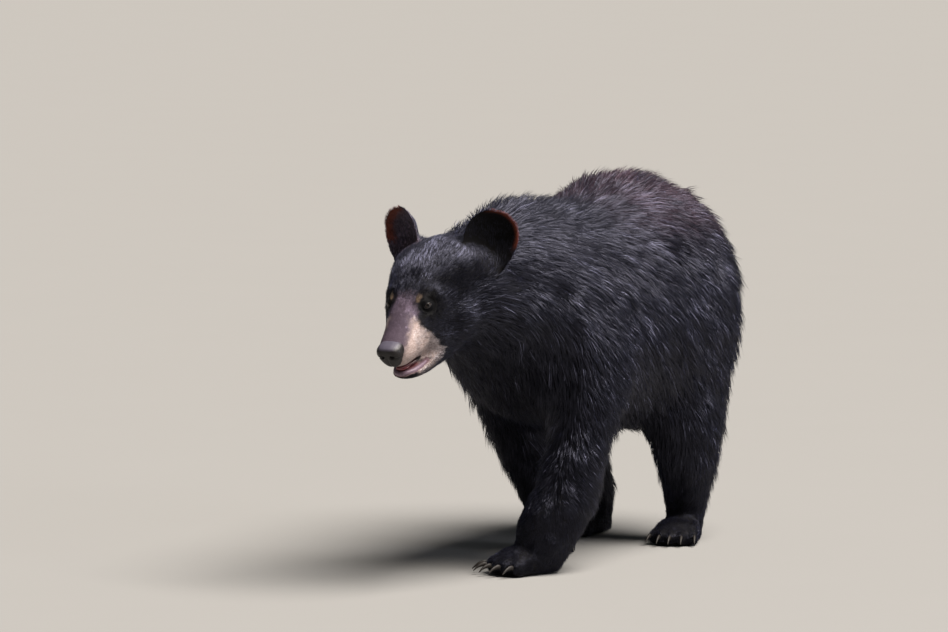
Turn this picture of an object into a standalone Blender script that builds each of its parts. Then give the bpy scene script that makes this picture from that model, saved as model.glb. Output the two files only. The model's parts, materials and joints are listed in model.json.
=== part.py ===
"""A young black bear walking, life size, as a still museum model: faceted solids of its outer form with the coat.

Frame: metres, +Z up. The bear heads along -Y and its left side is at +X. Everything is set out from a point
on the floor near the middle of the body, and at the end all is moved so that the origin lies on the floor
under the middle of the bear's box. All the flesh is modelled as one body, from lofts and a few rounded
masses that a voxel remesh joins. It is then parted with thin round blades into the parts that have names.
Ears, eyes, nose, tongue and claws are solids of their own, each let into the body with a hairline gap.
"""

import math

import bmesh
import bpy
import numpy as np
from mathutils import Matrix, Vector
from mathutils.bvhtree import BVHTree

# ---------------------------------------------------------------- driving dimensions, in metres

HAIRLINE = 0.0004  # gap between neighbouring solids
VOXEL = 0.0045  # grain of the remesh that joins the masses
FLESH_TRIANGLES = 5200  # for the whole body, before it is parted
RING_POINTS = 28  # points round a loft's section
SOLE_SINK = 0.007  # how far the paws are modelled below the floor before their soles are cut flat

# Trunk and neck: heights of the back, of the widest level and of the belly, the half width and how narrow
# the back is (1 is an even curve, more is a sharper ridge), from the throat back to the rump.
TRUNK = (  # (y, back, widest, belly, half width, ridge)
    (-0.590, 0.595, 0.530, 0.475, 0.056, 1.00),
    (-0.555, 0.630, 0.528, 0.440, 0.094, 1.05),  # behind the ears
    (-0.500, 0.652, 0.520, 0.418, 0.118, 1.20),
    (-0.430, 0.671, 0.505, 0.400, 0.134, 1.35),  # neck meets chest
    (-0.340, 0.703, 0.485, 0.352, 0.154, 1.38),
    (-0.240, 0.697, 0.460, 0.282, 0.176, 1.25),  # withers
    (-0.100, 0.681, 0.440, 0.243, 0.190, 1.10),  # dip behind the withers
    (0.020, 0.695, 0.430, 0.229, 0.199, 1.05),
    (0.120, 0.722, 0.430, 0.224, 0.203, 0.98),  # highest point, over the loin
    (0.240, 0.715, 0.440, 0.230, 0.206, 0.96),
    (0.340, 0.679, 0.450, 0.262, 0.187, 0.96),  # hips
    (0.408, 0.605, 0.455, 0.320, 0.134, 0.98),
    (0.442, 0.524, 0.455, 0.400, 0.068, 1.00),  # rump
)

# Head, in its own frame: forward, up and half width from the point midway between the eyes.
HEAD_PITCH = math.radians(30)  # the head's own forward axis points this far below the horizontal
MID_EYES = Vector((0.0, -0.7112, 0.5270))
SKULL = (  # (forward, top, widest, bottom, half width)
    (-0.250, 0.000, -0.060, -0.140, 0.080),
    (-0.205, 0.020, -0.060, -0.160, 0.100),
    (-0.155, 0.040, -0.058, -0.168, 0.107),
    (-0.105, 0.048, -0.050, -0.164, 0.096),
    (-0.060, 0.044, -0.042, -0.148, 0.078),
    (-0.022, 0.031, -0.036, -0.128, 0.064),  # brows
    (0.010, 0.015, -0.040, -0.106, 0.050),  # the stop, where the muzzle starts
    (0.038, 0.003, -0.048, -0.088, 0.040),
    (0.068, -0.009, -0.048, -0.080, 0.035),
    (0.090, -0.016, -0.046, -0.075, 0.030),
    (0.103, -0.028, -0.046, -0.063, 0.018),  # upper lip, behind the nose pad
)
JAW = (
    (-0.110, -0.090, -0.125, -0.164, 0.056),
    (-0.050, -0.090, -0.120, -0.154, 0.050),
    (0.000, -0.090, -0.114, -0.140, 0.041),
    (0.042, -0.090, -0.108, -0.127, 0.034),
    (0.074, -0.087, -0.099, -0.113, 0.026),
    (0.091, -0.085, -0.092, -0.101, 0.015),  # lower lip
)
# The mouth: where the lips part, from the front to the corner, and the seam from there to the throat.
UPPER_LIP = ((0.150, -0.066), (0.108, -0.072), (0.070, -0.080), (0.035, -0.089), (0.008, -0.098))
LOWER_LIP = ((0.035, -0.0925), (0.070, -0.0885), (0.108, -0.0840), (0.150, -0.0800))
JAW_SEAM = (-0.085, -0.200)
EYE_OUT, EYE_FORWARD, EYE_UP, EYE_RADIUS = 0.0362, -0.0045, -0.0020, 0.0100
NOSE_WIDTH, NOSE_HEIGHT, NOSE_DEPTH = 0.050, 0.037, 0.036
NOSE_FORWARD, NOSE_UP = 0.0970, -0.034
EAR_BASE = Vector((0.081, -0.560, 0.598))  # the left one, where it leaves the coat
EAR_ROOT, EAR_HEIGHT = 0.026, 0.100  # below and above that place
EAR_HALF_WIDTH, EAR_CUP, EAR_THICK = 0.053, 0.030, 0.012
EAR_LEAN = math.radians(14)  # outwards from upright
EAR_TURN = math.radians(29)  # its hollow faces this far out from straight ahead
TONGUE_BACK, TONGUE_LENGTH, TONGUE_WIDTH = 0.038, 0.046, 0.030
TAIL = (  # (x, y, z, half width, half depth)
    (0.0, 0.380, 0.590, 0.030, 0.030),
    (0.0, 0.428, 0.565, 0.031, 0.026),
    (0.0, 0.456, 0.520, 0.028, 0.020),
    (0.0, 0.462, 0.478, 0.016, 0.012),
)

# Legs: (x, y, z, half width, half depth) down the middle of each, from inside the trunk to the paw.
FORELEG_LEFT = (
    (0.090, -0.195, 0.500, 0.050, 0.080),
    (0.122, -0.205, 0.420, 0.074, 0.118),  # shoulder
    (0.131, -0.226, 0.330, 0.067, 0.100),
    (0.124, -0.256, 0.250, 0.056, 0.076),  # elbow
    (0.119, -0.287, 0.155, 0.057, 0.073),
    (0.099, -0.335, 0.083, 0.061, 0.065),  # wrist
    (0.092, -0.346, 0.030, 0.048, 0.050),
)
FORELEG_RIGHT = (
    (-0.090, -0.160, 0.500, 0.050, 0.080),
    (-0.124, -0.110, 0.420, 0.074, 0.108),
    (-0.132, -0.060, 0.335, 0.067, 0.094),
    (-0.119, -0.031, 0.250, 0.061, 0.080),
    (-0.086, -0.019, 0.165, 0.055, 0.067),
    (-0.061, -0.006, 0.088, 0.050, 0.058),
    (-0.056, -0.010, 0.030, 0.040, 0.046),
)
HINDLEG_LEFT = (
    (0.080, 0.240, 0.520, 0.090, 0.130),
    (0.100, 0.235, 0.420, 0.096, 0.152),  # hip
    (0.118, 0.215, 0.310, 0.080, 0.130),
    (0.126, 0.212, 0.220, 0.069, 0.108),  # knee
    (0.123, 0.226, 0.150, 0.055, 0.078),
    (0.115, 0.238, 0.090, 0.046, 0.057),  # hock
    (0.113, 0.246, 0.035, 0.036, 0.042),
)
HINDLEG_RIGHT = (
    (-0.080, 0.240, 0.520, 0.090, 0.130),
    (-0.100, 0.235, 0.420, 0.096, 0.152),
    (-0.116, 0.210, 0.310, 0.080, 0.130),
    (-0.118, 0.200, 0.220, 0.065, 0.098),
    (-0.112, 0.238, 0.145, 0.052, 0.070),
    (-0.108, 0.280, 0.088, 0.044, 0.054),
    (-0.106, 0.292, 0.035, 0.036, 0.042),
)

# Paws: the middle of the sole, the way the toes point (degrees in from straight ahead), length and width.
FOREPAW_LENGTH, FOREPAW_WIDTH, FOREPAW_HEIGHT = 0.140, 0.104, 0.058
HINDPAW_LENGTH, HINDPAW_WIDTH, HINDPAW_HEIGHT = 0.164, 0.090, 0.054
FORE_CLAW, HIND_CLAW = 0.034, 0.025
PAWS = {
    "forepaw_left": ((0.066, -0.364), 33, FOREPAW_LENGTH, FOREPAW_WIDTH, FOREPAW_HEIGHT, FORE_CLAW),
    "forepaw_right": ((-0.048, -0.034), 20, FOREPAW_LENGTH, FOREPAW_WIDTH, FOREPAW_HEIGHT, FORE_CLAW),
    "hindpaw_left": ((0.119, 0.200), -12, HINDPAW_LENGTH, HINDPAW_WIDTH, HINDPAW_HEIGHT, HIND_CLAW),
    "hindpaw_right": ((-0.108, 0.240), -6, HINDPAW_LENGTH, HINDPAW_WIDTH, HINDPAW_HEIGHT, HIND_CLAW),
}
TOES = (-2, -1, 0, 1, 2)  # from the outer toe to the inner one

HEAD_AXES = Matrix.Rotation(HEAD_PITCH, 4, "X")
HEAD_FRAME = Matrix.Translation(MID_EYES) @ HEAD_AXES  # head x = left, -y = forward, z = up


def head_point(forward, left, up):
    """A place given in the head's frame, in the bear's frame."""
    return HEAD_FRAME @ Vector((left, -forward, up))


# ---------------------------------------------------------------- tools


def clear_scene():
    for obj in list(bpy.data.objects):
        bpy.data.objects.remove(obj)


def collection(name):
    made = bpy.data.collections.new(name)
    bpy.context.scene.collection.children.link(made)
    return made


def material(name, colour, roughness):
    made = bpy.data.materials.new(name)
    made.use_nodes = True
    shader = made.node_tree.nodes["Principled BSDF"]
    shader.inputs["Base Color"].default_value = (*colour, 1.0)
    shader.inputs["Roughness"].default_value = roughness
    made.diffuse_color = (*colour, 1.0)
    return made


def mesh_object(name, mesh, group):
    made = bpy.data.objects.new(name, mesh)
    group.objects.link(made)
    return made


def object_from_bmesh(name, shape, group):
    bmesh.ops.recalc_face_normals(shape, faces=shape.faces)
    mesh = bpy.data.meshes.new(name)
    shape.to_mesh(mesh)
    shape.free()
    return mesh_object(name, mesh, group)


def rounded(rows, steps):
    """The rows of numbers, with steps - 1 more between each two, on a Catmull-Rom curve through them."""
    rows = np.array(rows, float)
    padded = np.vstack([2 * rows[0] - rows[1], rows, 2 * rows[-1] - rows[-2]])
    found = []
    for before, start, end, after in zip(padded, padded[1:], padded[2:], padded[3:]):
        for t in np.arange(steps) / steps:
            found.append(0.5 * (2 * start + (end - before) * t
                                + (2 * before - 5 * start + 4 * end - after) * t**2
                                + (3 * start - before - 3 * end + after) * t**3))
    return np.array(found + [rows[-1]])


def section(centre, across, up, half_width, above, below, fullness=1.0, ridge=None):
    """Points of an egg-shaped ring: half_width to each side, above and below its widest level.
    Fullness under 1 is boxier, over 1 more pointed; ridge is the same for the upper half."""
    points = []
    for i in range(RING_POINTS):
        turn = 2 * math.pi * i / RING_POINTS
        power = ridge if ridge and math.sin(turn) > 0 else fullness
        side = math.copysign(abs(math.cos(turn)) ** power, math.cos(turn))
        rise = math.copysign(abs(math.sin(turn)) ** power, math.sin(turn))
        points.append(centre + across * (half_width * side) + up * ((above if rise > 0 else below) * rise))
    return points


def loft(name, rings, group):
    """A closed skin over rings of points, in order."""
    shape = bmesh.new()
    made = [[shape.verts.new(point) for point in ring] for ring in rings]
    for first, second in zip(made, made[1:]):
        for i in range(len(first)):
            j = (i + 1) % len(first)
            shape.faces.new((first[i], first[j], second[j], second[i]))
    shape.faces.new(made[0])
    shape.faces.new(made[-1][::-1])
    return object_from_bmesh(name, shape, group)


def limb(name, rows, group, steps=4):
    """A leg or tail: rings square to the path, half width across and half depth fore and aft."""
    rows = rounded(rows, steps)
    path = [Vector(row[:3]) for row in rows]
    rings = []
    for i, row in enumerate(rows):
        along = (path[min(i + 1, len(path) - 1)] - path[max(i - 1, 0)]).normalized()
        across = (Vector((1, 0, 0)) - along * along.x).normalized()
        rings.append(section(path[i], across, across.cross(along), row[3], row[4], row[4]))
    return loft(name, rings, group)


def mass(name, centre, radii, group, turn=Matrix.Identity(3)):
    """A rounded mass of muscle or pad: a sphere, scaled and turned in its mesh."""
    shape = bmesh.new()
    bmesh.ops.create_uvsphere(shape, u_segments=24, v_segments=14, radius=1.0)
    place = Matrix.Translation(Vector(centre)) @ turn.to_4x4() @ Matrix.Diagonal((*radii, 1))
    bmesh.ops.transform(shape, matrix=place, verts=shape.verts)
    return object_from_bmesh(name, shape, group)


def both_sides(name, centre, radii, group, turn=Matrix.Identity(3)):
    flip = Matrix.Diagonal((-1, 1, 1))
    return [mass(name + "_left", centre, radii, group, turn),
            mass(name + "_right", flip @ Vector(centre), radii, group, flip @ turn @ flip)]


def evaluated_copy(obj, name, group):
    """A plain mesh object with obj's modifiers applied."""
    bpy.context.view_layer.update()
    graph = bpy.context.evaluated_depsgraph_get()
    mesh = bpy.data.meshes.new_from_object(obj.evaluated_get(graph))
    return mesh_object(name, mesh, group)


def joined(name, objects, group):
    """One mesh object out of several, and they are removed."""
    shape = bmesh.new()
    for obj in objects:
        shape.from_mesh(obj.data)
        bpy.data.objects.remove(obj)
    mesh = bpy.data.meshes.new(name)
    shape.to_mesh(mesh)
    shape.free()
    return mesh_object(name, mesh, group)


def as_helper(obj):
    obj.hide_render = True
    obj.display_type = "WIRE"
    return obj


def boolean(obj, cutter, operation="DIFFERENCE"):
    made = obj.modifiers.new(operation.lower(), "BOOLEAN")
    made.operation = operation
    made.solver = "EXACT"
    made.object = cutter
    return made


def swollen(obj, amount, group):
    """A helper like obj, but amount larger all round, to cut obj's seat."""
    made = evaluated_copy(obj, obj.name + "_seat", group)
    swell = made.modifiers.new("swell", "DISPLACE")
    swell.strength = amount
    swell.mid_level = 0.0
    larger = as_helper(evaluated_copy(made, obj.name + "_cutter", group))
    bpy.data.objects.remove(made)
    return larger


# ---------------------------------------------------------------- the flesh, all in one


def trunk(group):
    rings = []
    for y, back, widest, belly, half_width, ridge in rounded(TRUNK, 4):
        rings.append(section(Vector((0, y, widest)), Vector((1, 0, 0)), Vector((0, 0, 1)),
                             half_width, back - widest, widest - belly, 0.96, ridge))
    return loft("trunk_mass", rings, group)


def head_loft(name, rows, fullness, group):
    axes = HEAD_AXES.to_3x3()
    rings = []
    for forward, top, widest, bottom, half_width in rounded(rows, 4):
        middle = head_point(forward, 0, widest)
        rings.append(section(middle, axes @ Vector((1, 0, 0)), axes @ Vector((0, 0, 1)),
                             half_width, top - widest, widest - bottom, fullness))
    return loft(name, rings, group)


def head(group):
    forms = [head_loft("skull_mass", SKULL, 0.92, group), head_loft("jaw_mass", JAW, 1.0, group)]
    turn = HEAD_AXES.to_3x3()
    # brow ridges, cheeks and the full ruff under each ear
    forms += both_sides("brow", head_point(-0.030, 0.028, 0.006), (0.030, 0.028, 0.018), group, turn)
    forms += both_sides("cheek", head_point(-0.080, 0.046, -0.062), (0.046, 0.058, 0.056), group, turn)
    forms += both_sides("ruff", head_point(-0.160, 0.060, -0.080), (0.058, 0.058, 0.080), group, turn)
    return forms


def paw(name, group):
    """The foot with its five toes, pointing the way its row in PAWS says."""
    length, width, height = PAWS[name][2:5]
    place = paw_frame(name)
    forms = []
    rows = []
    for share, rise, spread in ((-0.50, 0.45, 0.50), (-0.34, 0.86, 0.80), (-0.05, 1.00, 0.98),
                                (0.20, 0.92, 1.04), (0.36, 0.62, 0.86)):
        rows.append((share * length, height * rise, width / 2 * spread))
    rings = []
    for forward, top, half_width in rounded(rows, 3):
        middle = place @ Vector((0, -forward, top * 0.40))
        rings.append(section(middle, place.to_3x3() @ Vector((1, 0, 0)), Vector((0, 0, 1)),
                             half_width, top * 0.60, top * 0.40 + SOLE_SINK, 0.86))
    forms.append(loft(name + "_foot", rings, group))
    for toe in TOES:
        centre, turn = toe_place(name, toe)
        radii = (width * 0.118, length * 0.150, height * 0.36)
        forms.append(mass(f"{name}_toe_{toe}", centre, radii, group, turn.to_3x3()))
    return forms


def paw_frame(name):
    """The paw's own frame on the floor: -y ahead along the toes, +x to its left."""
    (x, y), inward = PAWS[name][:2]
    side = 1 if x > 0 else -1
    return Matrix.Translation((x, y, 0)) @ Matrix.Rotation(-side * math.radians(inward), 4, "Z")


def toe_place(name, toe):
    """(middle of a toe, its frame's turn). Toes stand in an arc and spread a little."""
    length, width, height = PAWS[name][2:5]
    ahead = length * (0.40 - 0.030 * toe**2)
    turn = paw_frame(name) @ Matrix.Rotation(math.radians(7.0 * toe), 4, "Z")
    centre = paw_frame(name) @ Vector((width * 0.215 * toe, -ahead, height * 0.30))
    return centre, turn


def flesh(group):
    """The whole body as one closed mesh, before it is parted."""
    forms = [trunk(group), *head(group), limb("tail_mass", TAIL, group)]
    for name, rows in (("foreleg_left", FORELEG_LEFT), ("foreleg_right", FORELEG_RIGHT),
                       ("hindleg_left", HINDLEG_LEFT), ("hindleg_right", HINDLEG_RIGHT)):
        forms.append(limb(name, rows, group))
    for name in PAWS:
        forms += paw(name, group)
    forms.append(mass("shoulder_left", (0.092, -0.235, 0.445), (0.080, 0.115, 0.160), group))
    forms.append(mass("shoulder_right", (-0.092, -0.185, 0.455), (0.078, 0.108, 0.150), group))
    forms += both_sides("haunch", (0.100, 0.264, 0.440), (0.100, 0.148, 0.178), group)
    body = joined("body", forms, group)
    remesh = body.modifiers.new("join", "REMESH")
    remesh.mode = "VOXEL"
    remesh.voxel_size = VOXEL
    whole = evaluated_copy(body, "whole", group)
    bpy.data.objects.remove(body)
    soften(whole)
    body = evaluated_copy(whole, "flesh", group)
    bpy.data.objects.remove(whole)
    return flat_soled(body)


def soften(whole):
    """Runs the masses into each other: a lot on the trunk, a little on the face and toes."""
    spots = [(MID_EYES, 0.16), (head_point(0.10, 0, -0.05), 0.12)]
    spots += [(paw_frame(name) @ Vector((0, -0.06, 0.015)), 0.085) for name in PAWS]
    soft = whole.vertex_groups.new(name="soft")
    for vertex in whole.data.vertices:
        near = min((vertex.co - centre).length / reach for centre, reach in spots)
        soft.add([vertex.index], min(1.0, max(0.12, (near - 0.7) * 2)), "REPLACE")
    smooth = whole.modifiers.new("soften", "SMOOTH")
    smooth.factor = 0.5
    smooth.iterations = 90
    smooth.vertex_group = "soft"
    count = len(whole.data.polygons) * 2
    fewer = whole.modifiers.new("facets", "DECIMATE")
    fewer.ratio = FLESH_TRIANGLES / count
    fewer.vertex_group = "soft"
    fewer.vertex_group_factor = 0.3


def flat_soled(body):
    """Cuts the soles flat, on the floor."""
    shape = bmesh.new()
    shape.from_mesh(body.data)
    whole = [*shape.verts, *shape.edges, *shape.faces]
    cut = bmesh.ops.bisect_plane(shape, geom=whole, plane_co=(0, 0, 0), plane_no=(0, 0, 1), clear_inner=True)
    edges = [item for item in cut["geom_cut"] if isinstance(item, bmesh.types.BMEdge)]
    bmesh.ops.holes_fill(shape, edges=edges)
    bmesh.ops.triangulate(shape, faces=shape.faces)
    bmesh.ops.recalc_face_normals(shape, faces=shape.faces)
    shape.to_mesh(body.data)
    shape.free()
    return body


# ---------------------------------------------------------------- ears, eyes, nose, tongue and claws


def ear(name, side, group):
    """A cupped round ear: crescent rings from the root up to the rim, hollow to the front."""
    flip = Matrix.Diagonal((side, 1, 1))
    turn = Matrix.Rotation(EAR_LEAN, 3, "Y") @ Matrix.Rotation(EAR_TURN, 3, "Z")
    rings = []
    for rise, breadth in ((0.00, 0.62), (0.16, 0.76), (0.34, 0.93), (0.52, 1.00), (0.68, 0.97), (0.82, 0.82),
                          (0.92, 0.59), (0.98, 0.33)):
        up = rise * (EAR_ROOT + EAR_HEIGHT) - EAR_ROOT
        half_width = EAR_HALF_WIDTH * breadth
        thick = EAR_THICK * (1.0 - 0.62 * rise)
        cup = EAR_CUP * breadth**2
        ring = []
        for i in range(9):  # the back, from one edge to the other
            across = -1 + i / 4
            ring.append(Vector((half_width * across, cup * (1 - across**2), up)))
        for i in range(7):  # the hollow, on the way back
            across = (0.94 - 0.94 * i / 3)
            ring.append(Vector((half_width * across, cup * (1 - across**2) - thick, up)))
        rings.append([flip @ (turn @ point + EAR_BASE) for point in ring])
    return loft(name, rings, group)


def nose(group):
    """The nose pad: broad and blunt, narrower below."""
    axes = HEAD_AXES.to_3x3()
    rings = []
    for share, scale in ((-0.5, 0.86), (-0.1, 1.0), (0.22, 0.97), (0.42, 0.80), (0.5, 0.55)):
        middle = head_point(NOSE_FORWARD + share * NOSE_DEPTH, 0, NOSE_UP + 0.003 * (1 - scale))
        rings.append(section(middle, axes @ Vector((1, 0, 0)), axes @ Vector((0, 0, 1)),
                             NOSE_WIDTH / 2 * scale, NOSE_HEIGHT * 0.44 * scale, NOSE_HEIGHT * 0.56 * scale,
                             0.86)[::2])
    return loft("nose", rings, group)


def eye(name, side, group):
    shape = bmesh.new()
    bmesh.ops.create_icosphere(shape, subdivisions=2, radius=EYE_RADIUS)
    place = Matrix.Translation(head_point(EYE_FORWARD, side * EYE_OUT, EYE_UP))
    bmesh.ops.transform(shape, matrix=place, verts=shape.verts)
    return object_from_bmesh(name, shape, group)


def tongue(group):
    """A flat tongue lying along the lower jaw, its tip behind the lower lip."""
    axes = HEAD_AXES.to_3x3()
    floor = sorted(LOWER_LIP)
    rings = []
    for share, scale, thick in ((0.0, 0.80, 0.0020), (0.3, 0.95, 0.0034), (0.6, 1.0, 0.0046),
                                (0.85, 0.86, 0.0050), (1.0, 0.50, 0.0038)):
        forward = TONGUE_BACK + share * TONGUE_LENGTH
        level = float(np.interp(forward, [row[0] for row in floor], [row[1] for row in floor]))
        middle = head_point(forward, 0, level + 2 * HAIRLINE + thick / 2)
        rings.append(section(middle, axes @ Vector((1, 0, 0)), axes @ Vector((0, 0, 1)),
                             TONGUE_WIDTH / 2 * scale, thick / 2, thick / 2)[::2])
    return loft("tongue", rings, group)


def claw(name, paw_name, toe, group):
    """A tapered claw curving down from the front of its toe, its tip just off the floor."""
    length, width, height, claw_length = PAWS[paw_name][2:6]
    centre, turn = toe_place(paw_name, toe)
    rings = []
    for share, thickness in ((0.0, 1.0), (0.35, 0.92), (0.70, 0.66), (1.0, 0.22)):
        ahead = length * 0.085 + claw_length * share
        rise = 0.006 * math.sin(share * 2.6) - 0.012 * share**2
        middle = centre + turn.to_3x3() @ Vector((0, -ahead, rise))
        middle.z = max(middle.z, 0.0052 * thickness + 0.0008)
        rings.append(section(middle, turn.to_3x3() @ Vector((1, 0, 0)), Vector((0, 0, 1)),
                             0.0036 * thickness, 0.0052 * thickness, 0.0052 * thickness)[::4])
    return loft(name, rings, group)


# ---------------------------------------------------------------- parting the flesh


def blade(name, centre, normal, radius, group):
    """A round blade one hairline thick."""
    shape = bmesh.new()
    bmesh.ops.create_cone(shape, cap_ends=True, segments=24, radius1=radius, radius2=radius, depth=HAIRLINE)
    turn = Vector(normal).to_track_quat("Z", "Y").to_matrix().to_4x4()
    bmesh.ops.transform(shape, matrix=Matrix.Translation(Vector(centre)) @ turn, verts=shape.verts)
    return as_helper(object_from_bmesh(name, shape, group))


def mouth_blade(group):
    """The gap between the lips, and the hairline from the corners of the mouth down to the throat."""
    corner, end = Vector(UPPER_LIP[-1]), Vector(JAW_SEAM)
    along = (end - corner).normalized()
    shift = Vector((-along.y, along.x)) * HAIRLINE
    outline = [*UPPER_LIP, JAW_SEAM, tuple(end + shift), tuple(corner + shift), *LOWER_LIP]
    rings = [[head_point(forward, left, up) for forward, up in outline] for left in (-0.16, 0.16)]
    shape = bmesh.new()
    ends = [[shape.verts.new(point) for point in ring] for ring in rings]
    for i in range(len(outline)):
        j = (i + 1) % len(outline)
        shape.faces.new((ends[0][i], ends[0][j], ends[1][j], ends[1][i]))
    shape.faces.new(ends[0])
    shape.faces.new(ends[1][::-1])
    bmesh.ops.triangulate(shape, faces=[face for face in shape.faces if len(face.verts) > 4])
    return as_helper(object_from_bmesh("mouth_blade", shape, group))


BLADES = {  # (middle, way it faces, radius)
    "nape": ((0.0, -0.545, 0.530), (0.0, -0.95, -0.22), 0.200),
    "throat_base": ((0.0, -0.400, 0.530), (0.0, -0.985, -0.17), 0.230),
    "girth": ((0.0, -0.020, 0.475), (0.0, -0.96, -0.28), 0.285),
    "loin": ((0.0, 0.150, 0.475), (0.0, -0.955, 0.30), 0.300),
    "dock": ((0.0, 0.450, 0.505), (0.0, -1.0, 0.0), 0.100),
    "foreleg_left": ((0.134, -0.242, 0.262), (0.0, 0.10, 1.0), 0.128),
    "foreleg_right": ((-0.112, -0.036, 0.212), (0.0, 0.0, 1.0), 0.110),
    "hindleg_left": ((0.122, 0.205, 0.212), (0.0, 0.0, 1.0), 0.118),
    "hindleg_right": ((-0.118, 0.208, 0.212), (0.0, 0.0, 1.0), 0.112),
    "wrist_left": ((0.098, -0.338, 0.066), (0.0, 0.0, 1.0), 0.085),
    "wrist_right": ((-0.062, -0.012, 0.066), (0.0, 0.0, 1.0), 0.080),
    "ankle_left": ((0.113, 0.236, 0.058), (0.0, 0.0, 1.0), 0.085),
    "ankle_right": ((-0.108, 0.282, 0.058), (0.0, 0.0, 1.0), 0.085),
}
FLESH = {  # a place inside each part
    "head": (0.0, -0.640, 0.560),
    "lower_jaw": tuple(head_point(0.020, 0, -0.112)),
    "neck": (0.0, -0.470, 0.530),
    "chest": (0.0, -0.220, 0.480),
    "barrel": (0.0, 0.060, 0.500),
    "hindquarters": (0.0, 0.300, 0.500),
    "tail": (0.0, 0.464, 0.490),
    "foreleg_left": (0.121, -0.286, 0.155),
    "foreleg_right": (-0.092, -0.026, 0.165),
    "hindleg_left": (0.118, 0.216, 0.140),
    "hindleg_right": (-0.112, 0.238, 0.140),
    "forepaw_left": (0.060, -0.372, 0.030),
    "forepaw_right": (-0.048, -0.034, 0.030),
    "hindpaw_left": (0.119, 0.200, 0.030),
    "hindpaw_right": (-0.108, 0.240, 0.030),
}


def part_flesh(body, seats, bear, cutters):
    """Cuts the body with every blade and seat, and names each piece by the place inside it."""
    for name, (centre, normal, radius) in BLADES.items():
        boolean(body, blade("blade_" + name, centre, normal, radius, cutters))
    boolean(body, mouth_blade(cutters))
    for seat in seats:
        boolean(body, seat)
    cut = evaluated_copy(body, "cut_flesh", bear)
    bpy.data.objects.remove(body)
    pieces = loose_pieces(cut)
    parts = {}
    for name, place in FLESH.items():
        inside = [piece for piece in pieces if holds(piece, Vector(place))]
        smallest = min(inside, key=lambda piece: piece.calc_volume())
        mesh = bpy.data.meshes.new(name)
        smallest.to_mesh(mesh)
        parts[name] = mesh_object(name, mesh, bear)
        pieces.remove(smallest)
        smallest.free()
    for piece in pieces:
        piece.free()
    return parts


def loose_pieces(obj):
    """The separate closed pieces of obj's mesh, as bmeshes."""
    shape = bmesh.new()
    shape.from_mesh(obj.data)
    bpy.data.objects.remove(obj)
    seen = set()
    pieces = []
    for start in shape.verts:
        if start.index in seen:
            continue
        found, waiting = {start.index}, [start]
        while waiting:
            for edge in waiting.pop().link_edges:
                for vertex in edge.verts:
                    if vertex.index not in found:
                        found.add(vertex.index)
                        waiting.append(vertex)
        seen |= found
        piece = shape.copy()
        others = [vertex for vertex in piece.verts if vertex.index not in found]
        bmesh.ops.delete(piece, geom=others, context="VERTS")
        pieces.append(piece)
    shape.free()
    return pieces


def holds(shape, point):
    """True if the point is inside the closed bmesh."""
    tree = BVHTree.FromBMesh(shape)
    crossings = 0
    start, way = point.copy(), Vector((0.137, 0.211, 0.968)).normalized()
    while True:
        hit, _, _, distance = tree.ray_cast(start, way)
        if hit is None:
            return crossings % 2 == 1
        crossings += 1
        start = hit + way * 1e-5


# ---------------------------------------------------------------- the whole bear

COAT_BLACK, EAR_BLACK, MUZZLE_TAN = (0.016, 0.014, 0.015), (0.020, 0.014, 0.012), (0.42, 0.31, 0.20)
NOSE_BLACK, EYE_BROWN = (0.020, 0.018, 0.020), (0.030, 0.016, 0.010)
TONGUE_PINK, CLAW_HORN = (0.35, 0.13, 0.13), (0.045, 0.036, 0.030)


def finish_of(name):
    """(colour, roughness) of a part."""
    if name.startswith("claw"):
        return CLAW_HORN, 0.45
    if name.startswith("ear"):
        return EAR_BLACK, 0.9
    if name.startswith("eye"):
        return EYE_BROWN, 0.1
    return {"nose": (NOSE_BLACK, 0.35), "tongue": (TONGUE_PINK, 0.4),
            "lower_jaw": (MUZZLE_TAN, 0.9)}.get(name, (COAT_BLACK, 0.9))


def stand_on_origin(bear, cutters):
    """Moves everything so the origin lies on the floor under the middle of the bear's box."""
    bpy.context.view_layer.update()
    graph = bpy.context.evaluated_depsgraph_get()
    corners = []
    for obj in bear.objects:
        mesh = obj.evaluated_get(graph).to_mesh()
        corners += [tuple(vertex.co) for vertex in mesh.vertices]
    low, high = np.min(corners, axis=0), np.max(corners, axis=0)
    shift = Matrix.Translation((-(low[0] + high[0]) / 2, -(low[1] + high[1]) / 2, 0))
    for obj in [*bear.objects, *cutters.objects]:
        obj.data.transform(shift)


def main():
    clear_scene()
    bear = collection("black_bear")
    cutters = collection("cutters")
    body = flesh(bear)
    coat = swollen(body, HAIRLINE, cutters)
    own = {"nose": nose(bear), "tongue": tongue(bear)}
    for side, label in ((1, "left"), (-1, "right")):
        own["ear_" + label] = ear("ear_" + label, side, bear)
        own["eye_" + label] = eye("eye_" + label, side, bear)
    for paw_name in PAWS:
        for toe in TOES:
            name = f"claw_{paw_name}_{toe + 3}"
            own[name] = claw(name, paw_name, toe, bear)
    seats = [swollen(own[name], HAIRLINE, cutters) for name in ("eye_left", "eye_right", "nose")]
    for name, obj in own.items():
        if name.startswith(("ear", "claw")):
            boolean(obj, coat)
    parts = part_flesh(body, seats, bear, cutters)
    stand_on_origin(bear, cutters)
    for name, obj in {**parts, **own}.items():
        obj.data.materials.append(material(name, *finish_of(name)))


main()
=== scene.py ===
"""The finish of a life-size black bear: one skin, a coat of solid tufts, eyes, nose, lips and claws.

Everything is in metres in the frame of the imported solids: the bear faces -Y, its left is +X.
"""
import json
import math

import bmesh
import bpy
import numpy as np
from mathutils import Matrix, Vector
from mathutils.bvhtree import BVHTree
from mathutils.kdtree import KDTree

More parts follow.
